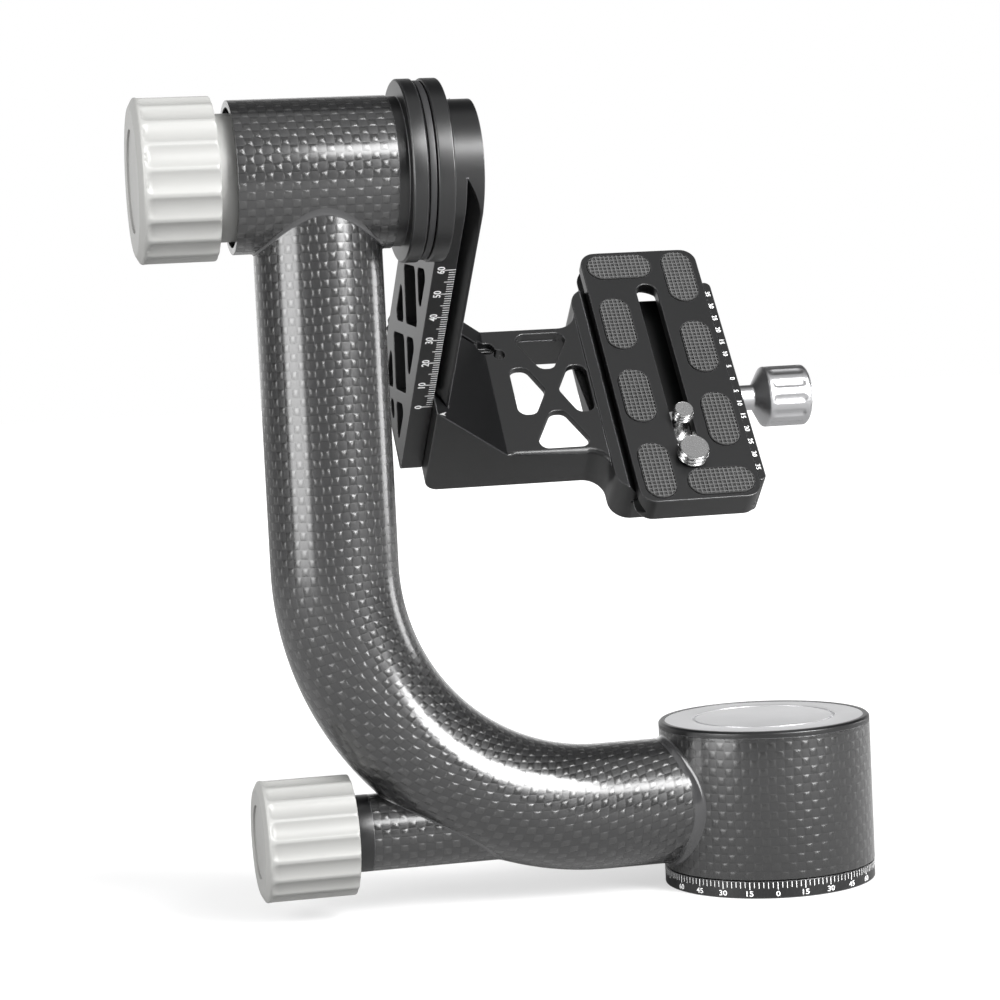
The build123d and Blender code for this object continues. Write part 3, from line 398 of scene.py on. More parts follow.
def carbonCloth(name, weft, warp, relief, shine):  # one cell of the piece's UV map is one cell of the cloth
    tree, shader = newMaterial(name)
    place = addNode(tree, "ShaderNodeUVMap", uv_map="UVMap").outputs[0]
    solid = addNode(tree, "ShaderNodeTexCoord").outputs["Object"]
    wander = noise(tree, place, weave["wanderScale"], 2.0).outputs["Color"]
    centred = vectorMaths(tree, "SUBTRACT", wander, (0.5, 0.5, 0.5)).outputs[0]
    reach = (weave["wander"], weave["wander"], 0)
    shifted = vectorMaths(tree, "MULTIPLY_ADD", centred, reach, place).outputs[0]
    parts = addNode(tree, "ShaderNodeSeparateXYZ", {0: shifted})
    u, v = parts.outputs[0], parts.outputs[1]
    cells = maths(tree, "ADD", maths(tree, "FLOOR", u), maths(tree, "FLOOR", v))
    weftOver = maths(tree, "LESS_THAN", maths(tree, "FLOORED_MODULO", cells, 2.0), 0.5)
    domes = []
    for way in (u, v):  # a flat-topped dome with steep sides across each cell
        across = maths(tree, "ABSOLUTE", maths(tree, "MULTIPLY_ADD", maths(tree, "FRACT", way), 2.0, -1.0))
        domes.append(maths(tree, "SUBTRACT", 1.0, maths(tree, "POWER", across, weave["steepness"])))
    dome = maths(tree, "MULTIPLY", domes[0], domes[1])
    tall = spread(tree, weftOver, weave["warpHeight"], 1.0)
    near, far = weave["threadStretch"]
    alongWeft = addNode(tree, "ShaderNodeMapping", {"Vector": place, "Scale": (near, far, 1)}).outputs[0]
    alongWarp = addNode(tree, "ShaderNodeMapping", {"Vector": place, "Scale": (far, near, 1)}).outputs[0]
    weftLines = noise(tree, alongWeft, 1.0, 3.0).outputs[0]
    warpLines = noise(tree, alongWarp, 1.0, 3.0).outputs[0]
    threads = addNode(tree, "ShaderNodeMix", {0: weftOver, 2: warpLines, 3: weftLines}).outputs[0]
    height = maths(tree, "MULTIPLY", dome, tall)
    full = maths(tree, "ADD", height, maths(tree, "MULTIPLY", threads, weave["threadHeight"]))
    low, high = weave["beadEdge"]
    beadShape = addNode(tree, "ShaderNodeMapRange", {"Value": dome, "From Min": low, "From Max": high},
                        interpolation_type="SMOOTHSTEP").outputs[0]
    bead = maths(tree, "MULTIPLY", weftOver, beadShape)
    # weft-over cells are painted a little paler than warp-over cells: a painted sheen for the light that weft
    # tows catch
    share = maths(tree, "MULTIPLY", bead, spread(tree, threads, *weave["threadTint"]))
    tint = blend(tree, share, (warp, warp, warp * 1.04, 1), (weft, weft, weft, 1))
    woven = addNode(tree, "ShaderNodeBump", {"Strength": 1.0, "Distance": relief * millimetre,
                                             "Height": full}).outputs[0]
    wave = noise(tree, solid, weave["waveScale"], 2.0).outputs[0]
    skinHeight = maths(tree, "ADD", maths(tree, "MULTIPLY", wave, weave["waveHeight"]), height)
    skin = addNode(tree, "ShaderNodeBump", {"Strength": weave["skinRelief"], "Height": skinHeight,
                                            "Distance": weave["skinDepth"] * millimetre}).outputs[0]
    setInputs(tree, shader, {"Base Color": tint, "Metallic": 0.0, "IOR": weave["ior"], "Normal": woven,
                             "Roughness": spread(tree, bead, *weave["roughness"]),
                             "Specular IOR Level": spread(tree, bead, *shine), "Coat Normal": skin,
                             "Coat Weight": 1.0, "Coat IOR": weave["skinIor"],
                             "Coat Roughness": weave["skinRoughness"]})


# weft is painted a little paler than warp, as a painted sheen
cloths = {
    "carbon": {"weft": 0.0125, "warp": 0.0095, "relief": 0.34, "shine": (0.46, 0.68)},
    "smoothCarbon": {"weft": 0.008, "warp": 0.0065, "relief": 0.2, "shine": (0.4, 0.5)}}
# an edge value sets how strongly a finish's corners get a painted highlight
finishes = {
    "resin": {"color": (0.035, 0.035, 0.036), "roughness": 0.22, "metallic": 0.0, "grain": 900, "bump": 0.12,
              "coat": 1.0},
    "blackAnodised": {"color": (0.003, 0.0031, 0.0034), "roughness": 0.34, "metallic": 0.0, "grain": 7000,
                      "bump": 0.16, "edge": 4.0, "specular": 0.72},
    "silverAnodised": {"color": (0.66, 0.66, 0.67), "roughness": 0.36, "metallic": 0.8, "grain": 7000,
                       "bump": 0.10, "edge": 1.0},
    "bareAluminium": {"color": (0.70, 0.70, 0.71), "roughness": 0.40, "grain": 5000, "bump": 0.10},
    "paleKnob": {"color": (0.285, 0.285, 0.277), "roughness": 0.46, "metallic": 0.1, "grain": 8000,
                 "bump": 0.12, "mottle": 0.03},
    "steel": {"color": (0.55, 0.55, 0.55), "roughness": 0.26, "grain": 4000, "bump": 0.08,
              "brushed": (1, 1, 14)},
    "blackSteel": {"color": (0.04, 0.04, 0.04), "roughness": 0.36, "metallic": 0.8, "grain": 5000,
                   "bump": 0.1, "edge": 2.0},
    "polishedSteel": {"color": (0.52, 0.52, 0.53), "roughness": 0.38, "grain": 3000, "brushed": (14, 1, 1)},
    "rubber": {"color": (0.03, 0.03, 0.03), "roughness": 0.78, "metallic": 0.0, "grain": 6000, "bump": 0.5,
               "specular": 0.3},
    # the knots are painted paler than the pad's rubber: painted light on the raised knots, painted shade in
    # the pits between them
    "rubberKnot": {"color": (0.078, 0.078, 0.078), "roughness": 0.7, "metallic": 0.0, "grain": 6000,
                   "bump": 0.5, "specular": 0.3},
    "brakePlastic": {"color": (0.02, 0.02, 0.021), "roughness": 0.45, "metallic": 0.0, "grain": 5000,
                     "bump": 0.3},
    "whitePaint": {"color": (0.80, 0.80, 0.80), "roughness": 0.55, "metallic": 0.0, "grain": 5000,
                   "bump": 0.2, "mottle": 0.05}}
slotMaterials = {"carbon": "carbon", "black_anodised": "blackAnodised", "silver_anodised": "silverAnodised",
                 "bare_aluminium": "bareAluminium", "pale_knob": "paleKnob", "steel": "steel",
                 "black_steel": "blackSteel", "polished_steel": "polishedSteel", "pad_rubber": "rubber",
                 "brake_plastic": "brakePlastic"}
for name, values in cloths.items():
    carbonCloth(name, **values)
for name, values in finishes.items():
    fineFinish(name, **values)
for entry in frame["record"]["subparts"]:  # every CAD piece that stays in sight
    for slot in frame["nodes"][entry["node"]].material_slots:
        slot.material = materials[slotMaterials[entry["material_slot"]]]
print("stage: materials made")

# the base: carbon sleeve, black ring, silver cap and the plate with the degree scale
sleeve = {"radius": 30.1, "wall": 2.0, "bottom": 5.1, "top": 44.65, "steps": 156, "cells": 78}
cap = {"step": 0.27, "groove": 20.0, "grooveHalf": 0.45, "grooveDepth": 0.5, "steps": 160}
ring = {"chamfer": 0.6, "steps": 160}
basePlate = {"eased": 0.2}

outer, inner = sleeve["radius"], sleeve["radius"] - sleeve["wall"]
profile = rounded([(outer, sleeve["bottom"], 0.2), (outer, sleeve["top"], 0.1), (inner, sleeve["top"], 0),
                   (inner, sleeve["bottom"], 0)])
dress(lathe("baseSleeve", profile, alongZ(0, 0), sleeve["steps"], sleeve["cells"], width=cellLength),
      "smoothCarbon", "head", "carbon", "base_sleeve")
low, high = [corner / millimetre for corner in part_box("top_ring")]
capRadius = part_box("top_cap")[1].x / millimetre
chamfer = ring["chamfer"]
profile = rounded([(outer, low.z, 0.12), (outer, high.z - chamfer, 0.15), (outer - chamfer, high.z, 0.12),
                   (capRadius, high.z, 0.1), (capRadius, low.z, 0)])
dress(lathe("topRing", profile, alongZ(0, 0), ring["steps"]), "blackAnodised", "head", "black_anodised",
      "top_ring")
low, high = [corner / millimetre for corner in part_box("top_cap")]
shoulder = capRadius - cap["step"]
grooveOut, grooveIn = cap["groove"] + cap["grooveHalf"], cap["groove"] - cap["grooveHalf"]
grooveFloor = high.z - cap["grooveDepth"]
profile = rounded([(0, low.z, 0), (shoulder, low.z, 0), (shoulder, sleeve["top"], 0),
                   (capRadius, sleeve["top"], 0), (capRadius, high.z, 0.25), (grooveOut, high.z, 0.15),
                   (grooveOut, grooveFloor, 0.12), (grooveIn, grooveFloor, 0.12), (grooveIn, high.z, 0.15),
                   (0, high.z, 0)], closed=False)
dress(lathe("topCap", profile, alongZ(0, 0), cap["steps"], closed=False), "silverAnodised", "head",
      "silver_anodised", "top_cap")
dress(machined("base_plate", "basePlate", basePlate["eased"]), "blackAnodised", "base", "black_anodised",
      "base_plate")
print("stage: base made")

# the bent carbon arm, the cross tube at its top and the short tube behind the lower knob
arm = {"radius": 17.72, "bend": 72.76, "height": 24.73, "uprightX": -121.53, "straight": 24.0, "columns": 138,
       "legRows": 8, "bendRows": 60, "uprightRows": 24, "cells": 46, "twist": 0.3, "twistEase": 14}
crossTube = {"radius": 20.95, "wall": 1.95, "left": -144.91, "right": -101.4, "steps": 162, "cells": 54}
lockTube = {"radius": 10.7, "left": -115.95, "height": 22.98, "columns": 84, "rows": 8, "cells": 28}
overlap = 0.8  # how far a tube reaches into the wall that it meets
bendX = arm["uprightX"] + arm["bend"]
bendZ = arm["height"] + arm["bend"]
bendEnd = arm["bend"] * math.pi / 2


def sleeveWall(radius, angle):  # where a tube of this radius meets the base's sleeve
    y, z = radius * math.cos(angle), radius * math.sin(angle)
    return Vector((-math.sqrt(sleeve["radius"] ** 2 - y * y), y, arm["height"] + z))


def tubeWall(radius, angle):  # where it meets the underside of the cross tube
    y, x = radius * math.cos(angle), radius * math.sin(angle)
    drop = math.sqrt(crossTube["radius"] ** 2 - y * y)
    return Vector((arm["uprightX"] + x, y, swing["axisHeight"] - drop))


def bendWall(radius, angle):  # where the lock tube meets the outside of the bend
    y, z = radius * math.cos(angle), lockTube["height"] + radius * math.sin(angle)
    across = arm["bend"] + math.sqrt(arm["radius"] ** 2 - y * y)
    return Vector((bendX - math.sqrt(across ** 2 - (z - bendZ) ** 2), y, z))


def armRows():  # a short leg from the base, a quarter bend and the upright, with the length along each row
    radius = arm["radius"]
    angles = [j * math.tau / arm["columns"] for j in range(arm["columns"])]
    starts = [sleeveWall(radius, a) + Vector((overlap, 0, 0)) for a in angles]
    rows, lengths = [], []
    for k in range(arm["legRows"] + 1):
        share = k / arm["legRows"]
        rows.append([point.lerp(Vector((bendX, point.y, point.z)), share) for point in starts])
        lengths.append((share - 1) * arm["straight"])
    for k in range(1, arm["bendRows"] + 1):
        swept = k / arm["bendRows"] * math.pi / 2
        row = []
        for a in angles:
            reach = arm["bend"] - radius * math.sin(a)
            row.append(Vector((bendX - reach * math.sin(swept), radius * math.cos(a),
                               bendZ - reach * math.cos(swept))))
        rows.append(row)
        lengths.append(swept * arm["bend"])
    base = rows[-1]
    ends = [tubeWall(radius, a) + Vector((0, 0, overlap)) for a in angles]
    for k in range(1, arm["uprightRows"] + 1):
        share = k / arm["uprightRows"]
        rows.append([point.lerp(end, share) for point, end in zip(base, ends)])
        lengths.append(lengths[-1] + (ends[0].z - bendZ) / arm["uprightRows"])
    return rows, lengths


rows, lengths = armRows()


def armLength(row, column):  # the true length along the arm, so that no cell of the cloth is stretched
    point = rows[row][column % arm["columns"]]
    if row <= arm["legRows"]:
        return (bendX - point.x) / cellLength
    if row > arm["legRows"] + 1 + arm["bendRows"]:
        return (bendEnd + point.z - bendZ) / cellLength
    return lengths[row] / cellLength


mesh = skinMesh("carbonArm", rows, armLength, arm["cells"])
for corner in mesh.uv_layers["UVMap"].data:  # the cloth twists gradually round the bend
    below = max(0.0, bendEnd / cellLength - corner.uv.y)
    corner.uv.x += arm["twist"] * (math.hypot(below, arm["twistEase"]) - arm["twistEase"])
dress(finished("carbonArm", mesh, 60), "carbon", "head", "carbon", "carbon_arm")
outer, inner = crossTube["radius"], crossTube["radius"] - crossTube["wall"]
profile = rounded([(outer, crossTube["left"], 0.2), (outer, crossTube["right"], 0.1),
                   (inner, crossTube["right"], 0), (inner, crossTube["left"], 0.15)])
tiltAxis = alongX(0, swing["axisHeight"])
dress(lathe("crossTube", profile, tiltAxis, crossTube["steps"], crossTube["cells"], width=cellLength),
      "carbon", "head", "carbon", "upper_tube")
ends = [bendWall(lockTube["radius"], j * math.tau / lockTube["columns"]) + Vector((overlap, 0, 0))
        for j in range(lockTube["columns"])]
tubeRows = [[Vector((lockTube["left"], end.y, end.z)).lerp(end, k / lockTube["rows"]) for end in ends]
            for k in range(lockTube["rows"] + 1)]


def tubeLength(row, column):
    return tubeRows[row][column % lockTube["columns"]].x / cellLength


mesh = skinMesh("lockTube", tubeRows, tubeLength, lockTube["cells"])
dress(finished("lockTube", mesh, 60), "carbon", "head", "carbon", "pan_lock_tube")

fillet = {"rows": 10, "columns": 120, "skin": 0.03, "root": 0.3, "armFillet": (2.2, 1.2),
          "tubeFillet": (0.8, 0.8), "lockFillet": (0.6, 0.6)}  # reach along the tube and across its host


def jointFillet(name, wall, radius, outward, along, across):  # a hollow curve of resin from tube to host
    rows = []
    for k in range(fillet["rows"]):
        t = k / (fillet["rows"] - 1)
        row = []
        for j in range(fillet["columns"]):
            a = j * math.tau / fillet["columns"]
            guest = wall(radius + fillet["skin"], a) + outward * along
            host = wall(radius + across, a) + outward * fillet["skin"]
            row.append(guest * (1 - t) ** 2 + wall(radius, a) * 2 * t * (1 - t) + host * t ** 2)
        rows.append(row)
    rows.append([wall(radius - fillet["root"], j * math.tau / fillet["columns"]) - outward * fillet["root"]
                 for j in range(fillet["columns"])])
    return dress(finished(name, skinMesh(name, rows, loop=True), 60), "resin", "head", "carbon")


left, down = Vector((-1, 0, 0)), Vector((0, 0, -1))
for name, wall, radius, outward in (("armFillet", sleeveWall, arm["radius"], left),
                                    ("tubeFillet", tubeWall, arm["radius"], down),
                                    ("lockFillet", bendWall, lockTube["radius"], left)):
    jointFillet(name, wall, radius, outward, *fillet[name])
print("stage: carbon pieces made")

# the tilt joint and the collar of the pan lock
housing = {"bore": 16.0, "liner": 18.9, "collar": 20.5, "flange": 25.19, "chamfer": 0.45, "left": -137.2,
           "collarRight": -98.43, "right": -94.0, "steps": 160}
friction = {"inner": 12.6, "outer": 24.6, "edge": 0.3, "steps": 160}
swingArm = {"eased": 0.22}
collar = {"bore": 3.2, "outer": 10.7, "plug": 9.3, "left": -120.55, "right": -106.0, "steps": 96}

rim, chamfer = housing["flange"], housing["chamfer"]
near, far = housing["collarRight"], housing["right"]
profile = rounded([(housing["bore"], housing["left"], 0), (housing["liner"], housing["left"], 0),
                   (housing["liner"], crossTube["right"], 0), (housing["collar"], crossTube["right"], 0.15),
                   (housing["collar"], near, 0.2), (rim - chamfer, near, 0.1), (rim, near + chamfer, 0.1),
                   (rim, far - chamfer, 0.1), (rim - chamfer, far, 0.1), (housing["bore"], far, 0.2)])
dress(lathe("tiltHousing", profile, tiltAxis, housing["steps"]), "blackAnodised", "head", "black_anodised",
      "tilt_housing")
low, high = [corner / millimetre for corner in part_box("friction_ring")]
profile = rounded([(friction["inner"], low.x, 0), (friction["outer"], low.x, friction["edge"]),
                   (friction["outer"], high.x, friction["edge"]), (friction["inner"], high.x, 0)])
dress(lathe("frictionRing", profile, tiltAxis, friction["steps"]), "brakePlastic", "swing", "brake_plastic",
      "friction_ring")
dress(machined("swing_arm", "swingArm", swingArm["eased"]), "blackAnodised", "swing", "black_anodised",
      "swing_arm")
panLockAxis = alongX(0, lockTube["height"])
profile = rounded([(collar["bore"], collar["left"], 0.1), (collar["outer"], collar["left"], 0.45),
                   (collar["outer"], lockTube["left"], 0.12), (collar["plug"], lockTube["left"], 0),
                   (collar["plug"], collar["right"], 0), (collar["bore"], collar["right"], 0)])
dress(lathe("lockCollar", profile, panLockAxis, collar["steps"]), "blackAnodised", "head", "black_anodised",
      "pan_lock_collar")
print("stage: tilt joint made")


# the knobs: one flute's wedge is shaped by a ball-ended cutter and repeated round the axis
def flutedKnob(name, outline, placer, centre, axis, knob, away, start, end, material):
    half = math.pi / knob["flutes"]
    nose, ease = knob["nose"], knob["ease"]

    def radiusAt(radius, place, angle):
        inside = min(place - start, end - place)
        if inside <= 0 or radius <= knob["core"]:
            return radius
        section = knob["cutter"] - nose + math.sqrt(nose ** 2 - max(0.0, nose - inside) ** 2)
        side = away * abs(math.sin(angle))
        if side >= section:
            return radius
        cut = away * math.cos(angle) - math.sqrt(section ** 2 - side ** 2)
        share = min(1.0, max(0.0, 0.5 + 0.5 * (radius - cut) / ease))
        return cut * share + radius * (1 - share) - ease * share * (1 - share)

    first = math.radians(knob["firstFlute"])
    rows = []
    for radius, place in outline:
        row = []
        for j in range(knob["columns"] + 1):
            angle = -half + 2 * half * j / knob["columns"]
            size = radiusAt(radius, place, angle)
            row.append(placer(place, size * math.cos(angle + first), size * math.sin(angle + first)) - centre)
        rows.append(row)
    thing = finished(name, skinMesh(name, rows, capped=False, wrap=False), 60)
    return repeated(thing, knob["flutes"], material, angle=2 * half, axis=axis, centre=centre, sharpAngle=50)


def cutterPlace(knob):  # the cutter's distance from the axis, from the arc that a flute takes at the rim
    half, radius = math.radians(knob["fluteArc"] / 2), knob["radius"]
    return radius * math.cos(half) + math.sqrt(knob["cutter"] ** 2 - (radius * math.sin(half)) ** 2)


def paleKnob(name, knob, axis, height, body, node):  # the knob's left end holds a sunk cap
    left, right, radius, cap = knob["left"], knob["right"], knob["radius"], knob["cap"]
    bottom = left + knobCap["sunk"]
    front, back = knob["rounding"]
    profile = rounded([(0, bottom, 0), (cap, bottom, 0), (cap, left, 0.15), (knob["face"], left, 0.5),
                       (radius, left + knob["bevel"], front), (radius, right, back), *knob["behind"]],
                      closed=False)
    thing = flutedKnob(name, denser(profile, knob["rowStep"]), axis, Vector((0, 0, height)), (1, 0, 0), knob,
                       cutterPlace(knob), left + knob["fluteStart"], right + knob["runOut"], "paleKnob")
    dress(thing, "paleKnob", body, "pale_knob", node)


knobCap = {"gap": 0.05, "sunk": 1.0, "recess": 0.6, "thickness": 0.4, "edge": 0.2, "steps": 120}
tiltKnob = {"left": -171.18, "right": -149.38, "radius": 22.49, "face": 20.0, "bevel": 1.37, "cap": 14.0,
            "rounding": (0.6, 1.0), "behind": ((17.4, -149.38, 0.2), (17.4, -138.98, 0.2), (0, -138.98, 0)),
            "flutes": 20, "fluteArc": 15.4, "cutter": 6.5, "nose": 1.4, "ease": 0.18, "fluteStart": 1.9,
            "runOut": 9, "core": 18.0, "firstFlute": 238.1, "columns": 26, "rowStep": 0.6}
panKnob = {"left": -147.0, "right": -120.82, "radius": 16.86, "face": 14.6, "bevel": 1.2, "cap": 10.22,
           "rounding": (0.5, 0.9), "behind": ((0, -120.82, 0),), "flutes": 18, "fluteArc": 17, "cutter": 5.5,
           "nose": 1.4, "ease": 0.15, "fluteStart": 1.7, "runOut": 9, "core": 12.5, "firstFlute": 120.95,
           "columns": 26, "rowStep": 0.6}
paleKnob("tiltKnob", tiltKnob, tiltAxis, swing["axisHeight"], "tilt_lock", "tilt_lock_knob")
paleKnob("panKnob", panKnob, panLockAxis, lockTube["height"], "pan_lock", "pan_lock_knob")
for name, knob, axis, body, node in (("tiltKnobCap", tiltKnob, tiltAxis, "tilt_lock", "tilt_knob_cap"),
                                     ("panKnobCap", panKnob, panLockAxis, "pan_lock", "pan_knob_cap")):
    radius, front = knob["cap"] - knobCap["gap"], knob["left"] + knobCap["recess"]
    behind = front + knobCap["thickness"]
    profile = rounded([(0, front, 0), (radius, front, knobCap["edge"]), (radius, behind, 0), (0, behind, 0)],
                      closed=False)
    dress(lathe(name, profile, axis, knobCap["steps"], closed=False), "paleKnob", body, "pale_knob", node)

heightKnob = {"x": -75.0, "up": -105.0, "near": 24.77, "length": 11.2, "radius": 10.5, "waist": 7.5,
              "cone": 1.6, "bevel": 1.0, "flutes": 12, "away": 11.4, "cutter": 2.0, "nose": 1.0, "ease": 0.3,
              "runOut": 9, "core": 6.0, "firstFlute": 0.0, "columns": 22, "rowStep": 0.6}
near, far, radius = heightKnob["near"], heightKnob["near"] + heightKnob["length"], heightKnob["radius"]
profile = rounded([(0, near, 0), (heightKnob["waist"], near, 0.3), (radius, near + heightKnob["cone"], 0.4),
                   (radius, far - heightKnob["bevel"], 0.4), (radius - heightKnob["bevel"], far, 0.4),
                   (0, far, 0)], closed=False)
x, up = heightKnob["x"], heightKnob["up"]
thing = flutedKnob("heightKnob", denser(profile, heightKnob["rowStep"]), hungAlongBack(x, up), hung(x, 0, up),
                   turn @ Vector((0, 1, 0)), heightKnob, heightKnob["away"], near - heightKnob["runOut"],
                   far + heightKnob["runOut"], "blackAnodised")
dress(thing, "blackAnodised", "height_lock", "black_anodised", "height_lock_knob")

clampKnob = {"up": -108.6, "left": 19.77, "neckEnd": 26.17, "coneEnd": 29.57, "right": 43.47, "neck": 3.95,
             "radius": 9.47, "bevel": 0.9, "flutes": 12, "away": 12.02, "cutter": 3.0, "nose": 1.5,
             "ease": 0.15, "fluteStart": 0.7, "fluteEnd": 1.7, "core": 6.5, "firstFlute": 15, "columns": 22,
             "rowStep": 0.5}
neck, radius, end = clampKnob["neck"], clampKnob["radius"], clampKnob["right"]
profile = rounded([(0, clampKnob["left"], 0), (neck, clampKnob["left"], 0.3),
                   (neck, clampKnob["neckEnd"], 0.4), (radius, clampKnob["coneEnd"], 0.5),
                   (radius, end - clampKnob["bevel"], 0.4), (radius - clampKnob["bevel"], end, 0.4),
                   (0, end, 0)], closed=False)
thing = flutedKnob("clampKnob", denser(profile, clampKnob["rowStep"]), hungAlongX(0, clampKnob["up"]),
                   hung(0, 0, clampKnob["up"]), (1, 0, 0), clampKnob, clampKnob["away"],
                   clampKnob["coneEnd"] + clampKnob["fluteStart"], end - clampKnob["fluteEnd"],
                   "polishedSteel")
dress(thing, "polishedSteel", "clamp_lock", "polished_steel", "clamp_knob")
print("stage: knobs made")

# the cradle, the clamp's moving jaw and the camera plate
cradle = {"eased": 0.3, "frontEdge": {"radius": 1.5, "x": (-59, -26.9), "back": (-31.5, -24.4),
                                      "up": (-99.5, -98.8)}}
for node, name, body, roundedEdge in (("cradle_bracket", "cradle", "cradle", cradle["frontEdge"]),
                                      ("clamp_jaw", "movingJaw", "jaw", None),
                                      ("camera_plate", "cameraPlate", "plate", None)):
    dress(machined(node, name, cradle["eased"], roundedEdge), "blackAnodised", body, "black_anodised", node)

# the rubber pads: a grid of raised ridges with a knot at each crossing, cut off at the pad's outline
pads = {"length": 20.8, "width": 9.8, "top": 96.43, "bottom": 97.93, "rim": 0.3, "edge": 0.18, "depth": 0.55,
        "pitch": 1.38, "ridge": 0.52, "ridgeTop": 0.6, "ridgeDrop": 0.1, "join": 0.02, "knotFoot": 0.4,
        "knotTop": 0.26, "knotDrop": 0.16, "knotSides": 8, "margin": 0.08, "reach": 0.5, "arcSteps": 12}
padSpots = [(-14.4, 23.1, True), (-14.4, -6.1, True), (-14.4, -35.3, True), (9.6, -17.0, True),
            (9.6, 12.2, True), (9.6, 41.4, True), (-9.3, 46.7, False),
            (4.5, -40.6, False)]  # x, back, and whether the pad lies lengthwise
padRun = (pads["length"] - pads["width"]) / 2


def stadiumPoints(inset):
    radius = pads["width"] / 2 - inset
    points = []
    for side in (1, -1):
        for k in range(pads["arcSteps"] + 1):
            a = -math.pi / 2 + math.pi * k / pads["arcSteps"]
            points.append((-side * radius * math.sin(a), side * (padRun + radius * math.cos(a))))
    return points


def padPiece(x, back, lengthwise):  # a pad's body, and where its knots go
    def at(a, b, level):
        return hung(x + a, back + b, -level) if lengthwise else hung(x + b, back - a, -level)

    top, edge, rim, pitch = pads["top"], pads["edge"], pads["rim"], pads["pitch"]
    rings = ((0, pads["bottom"]), (0, top + edge), (edge, top), (rim - 0.1, top), (rim, top + pads["depth"]))
    rows = [[at(a, b, level) for a, b in stadiumPoints(inset)] for inset, level in rings]
    body = finished("padBody", skinMesh("padBody", rows), 40)
    knots = []
    across = int((pads["width"] - 2 * rim) / pitch / 2)
    along = int((pads["length"] - 2 * rim) / pitch / 2)
    limit = pads["width"] / 2 - rim + pads["reach"]
    for i in range(-across, across + 1):
        for j in range(-along, along + 1):
            a, b = i * pitch, j * pitch
            if math.hypot(a, max(0.0, abs(b) - padRun)) < limit:
                knots.append(at(a, b, top))
    return body, knots


def knotMesh():  # one crossing of the pad's ridges, with its raised knot
    bm = bmesh.new()
    half, reach = pads["ridge"] / 2, pads["pitch"] / 2 + pads["join"]
    narrow = half * pads["ridgeTop"]
    corners = ((-1, -1), (1, -1), (1, 1), (-1, 1))
    for foot, crest in (((reach, half), (reach, narrow)), ((half, reach), (narrow, reach))):
        low = [bm.verts.new((x * foot[0], y * foot[1], -pads["depth"])) for x, y in corners]
        high = [bm.verts.new((x * crest[0], y * crest[1], -pads["ridgeDrop"])) for x, y in corners]
        bm.faces.new(high)
        for k in range(4):
            bm.faces.new((low[k], low[(k + 1) % 4], high[(k + 1) % 4], high[k]))
    sides = pads["knotSides"]
    angles = [k * math.tau / sides for k in range(sides)]
    foot, crest = pads["knotFoot"], pads["knotTop"]
    ring = [bm.verts.new((foot * math.cos(a), foot * math.sin(a), -pads["knotDrop"])) for a in angles]
    top = [bm.verts.new((crest * math.cos(a), crest * math.sin(a), 0.0)) for a in angles]
    bm.faces.new(top)
    for k in range(sides):
        bm.faces.new((ring[k], ring[(k + 1) % sides], top[(k + 1) % sides], top[k]))
    for vert in bm.verts:
        vert.co *= millimetre
    mesh = bpy.data.meshes.new("knot")
    bm.to_mesh(mesh)
    bm.free()
    return mesh


def knotTree():  # one copy of Knot on each point
    tree, given, result = newTree("Knots", (("Knot", "Object"), ("Turn", "Vector"), ("Material", "Material")))
    item = addNode(tree, "GeometryNodeObjectInfo", {"Object": given["Knot"]}).outputs["Geometry"]
    return paintedCopies(tree, result, item, given["Geometry"], given["Turn"], given["Material"])


joined = bmesh.new()
spots = []
for padSpot in padSpots:
    body, knots = padPiece(*padSpot)
    joined.from_mesh(body.data)
    bpy.data.objects.remove(body)
    spots += knots
mesh = bpy.data.meshes.new("platePads")
joined.to_mesh(mesh)
joined.free()
dress(finished("platePads", mesh, 40), "rubber", "plate", "pad_rubber", "plate_pads")
knotItem = bpy.data.objects.new("knotItem", knotMesh())
mesh = bpy.data.meshes.new("padKnots")
mesh.from_pydata([point * millimetre for point in spots], [], [])
padKnots = bpy.data.objects.new("padKnots", mesh)
scene.collection.objects.link(padKnots)
applyTree(padKnots, knotTree(), {"Knot": knotItem, "Turn": [math.radians(swing["angle"]), 0, 0],
                                 "Material": materials["rubberKnot"]})
limit = pads["width"] / 2 - pads["margin"]
for vert in padKnots.data.vertices:  # knots at the edge end at the pad's outline
    point = unhung(vert.co)
    found = []
    for x, back, lengthwise in padSpots:
        a, b = (point.x - x, point.y - back) if lengthwise else (point.y - back, point.x - x)
        found.append((math.hypot(a, max(0.0, abs(b) - padRun)), a, b, x, back, lengthwise))
    away, a, b, x, back, lengthwise = min(found)
    if away > limit:
        over = max(0.0, abs(b) - padRun)
        a, b = a * limit / away, math.copysign(min(abs(b), padRun) + over * limit / away, b)
        spot = (a, b) if lengthwise else (b, a)
        vert.co = hung(x + spot[0], back + spot[1], point.z) * millimetre
# the knots get the paler rubber, painted light on their raised tops
dress(padKnots, "rubberKnot", "plate", "pad_rubber")
bpy.data.objects.remove(knotItem)

# the two camera screws, with a turned thread above the plate and a coin slot below it
screws = {"x": -2.4, "top": 92.63, "seat": 96.43, "shank": 2.7, "head": 7.0, "headTop": 102.2,
          "headBottom": 105.3, "headChamfer": 0.3, "headEdge": 0.4, "slotWidth": 1.6, "slotDepth": 1.2,
          "slotReach": 2.4, "chamfer": 0.4, "turns": 12, "turnDepth": 0.05, "steps": 64, "rowsPerTurn": 10}
quarterScrew = {"back": -15.6, "radius": 3.175, "pitch": 1.27}
largeScrew = {"back": -30.4, "radius": 4.7625, "pitch": 1.5875}
thread = {"depth": 0.5, "flat": 1.15, "slope": 2.8}


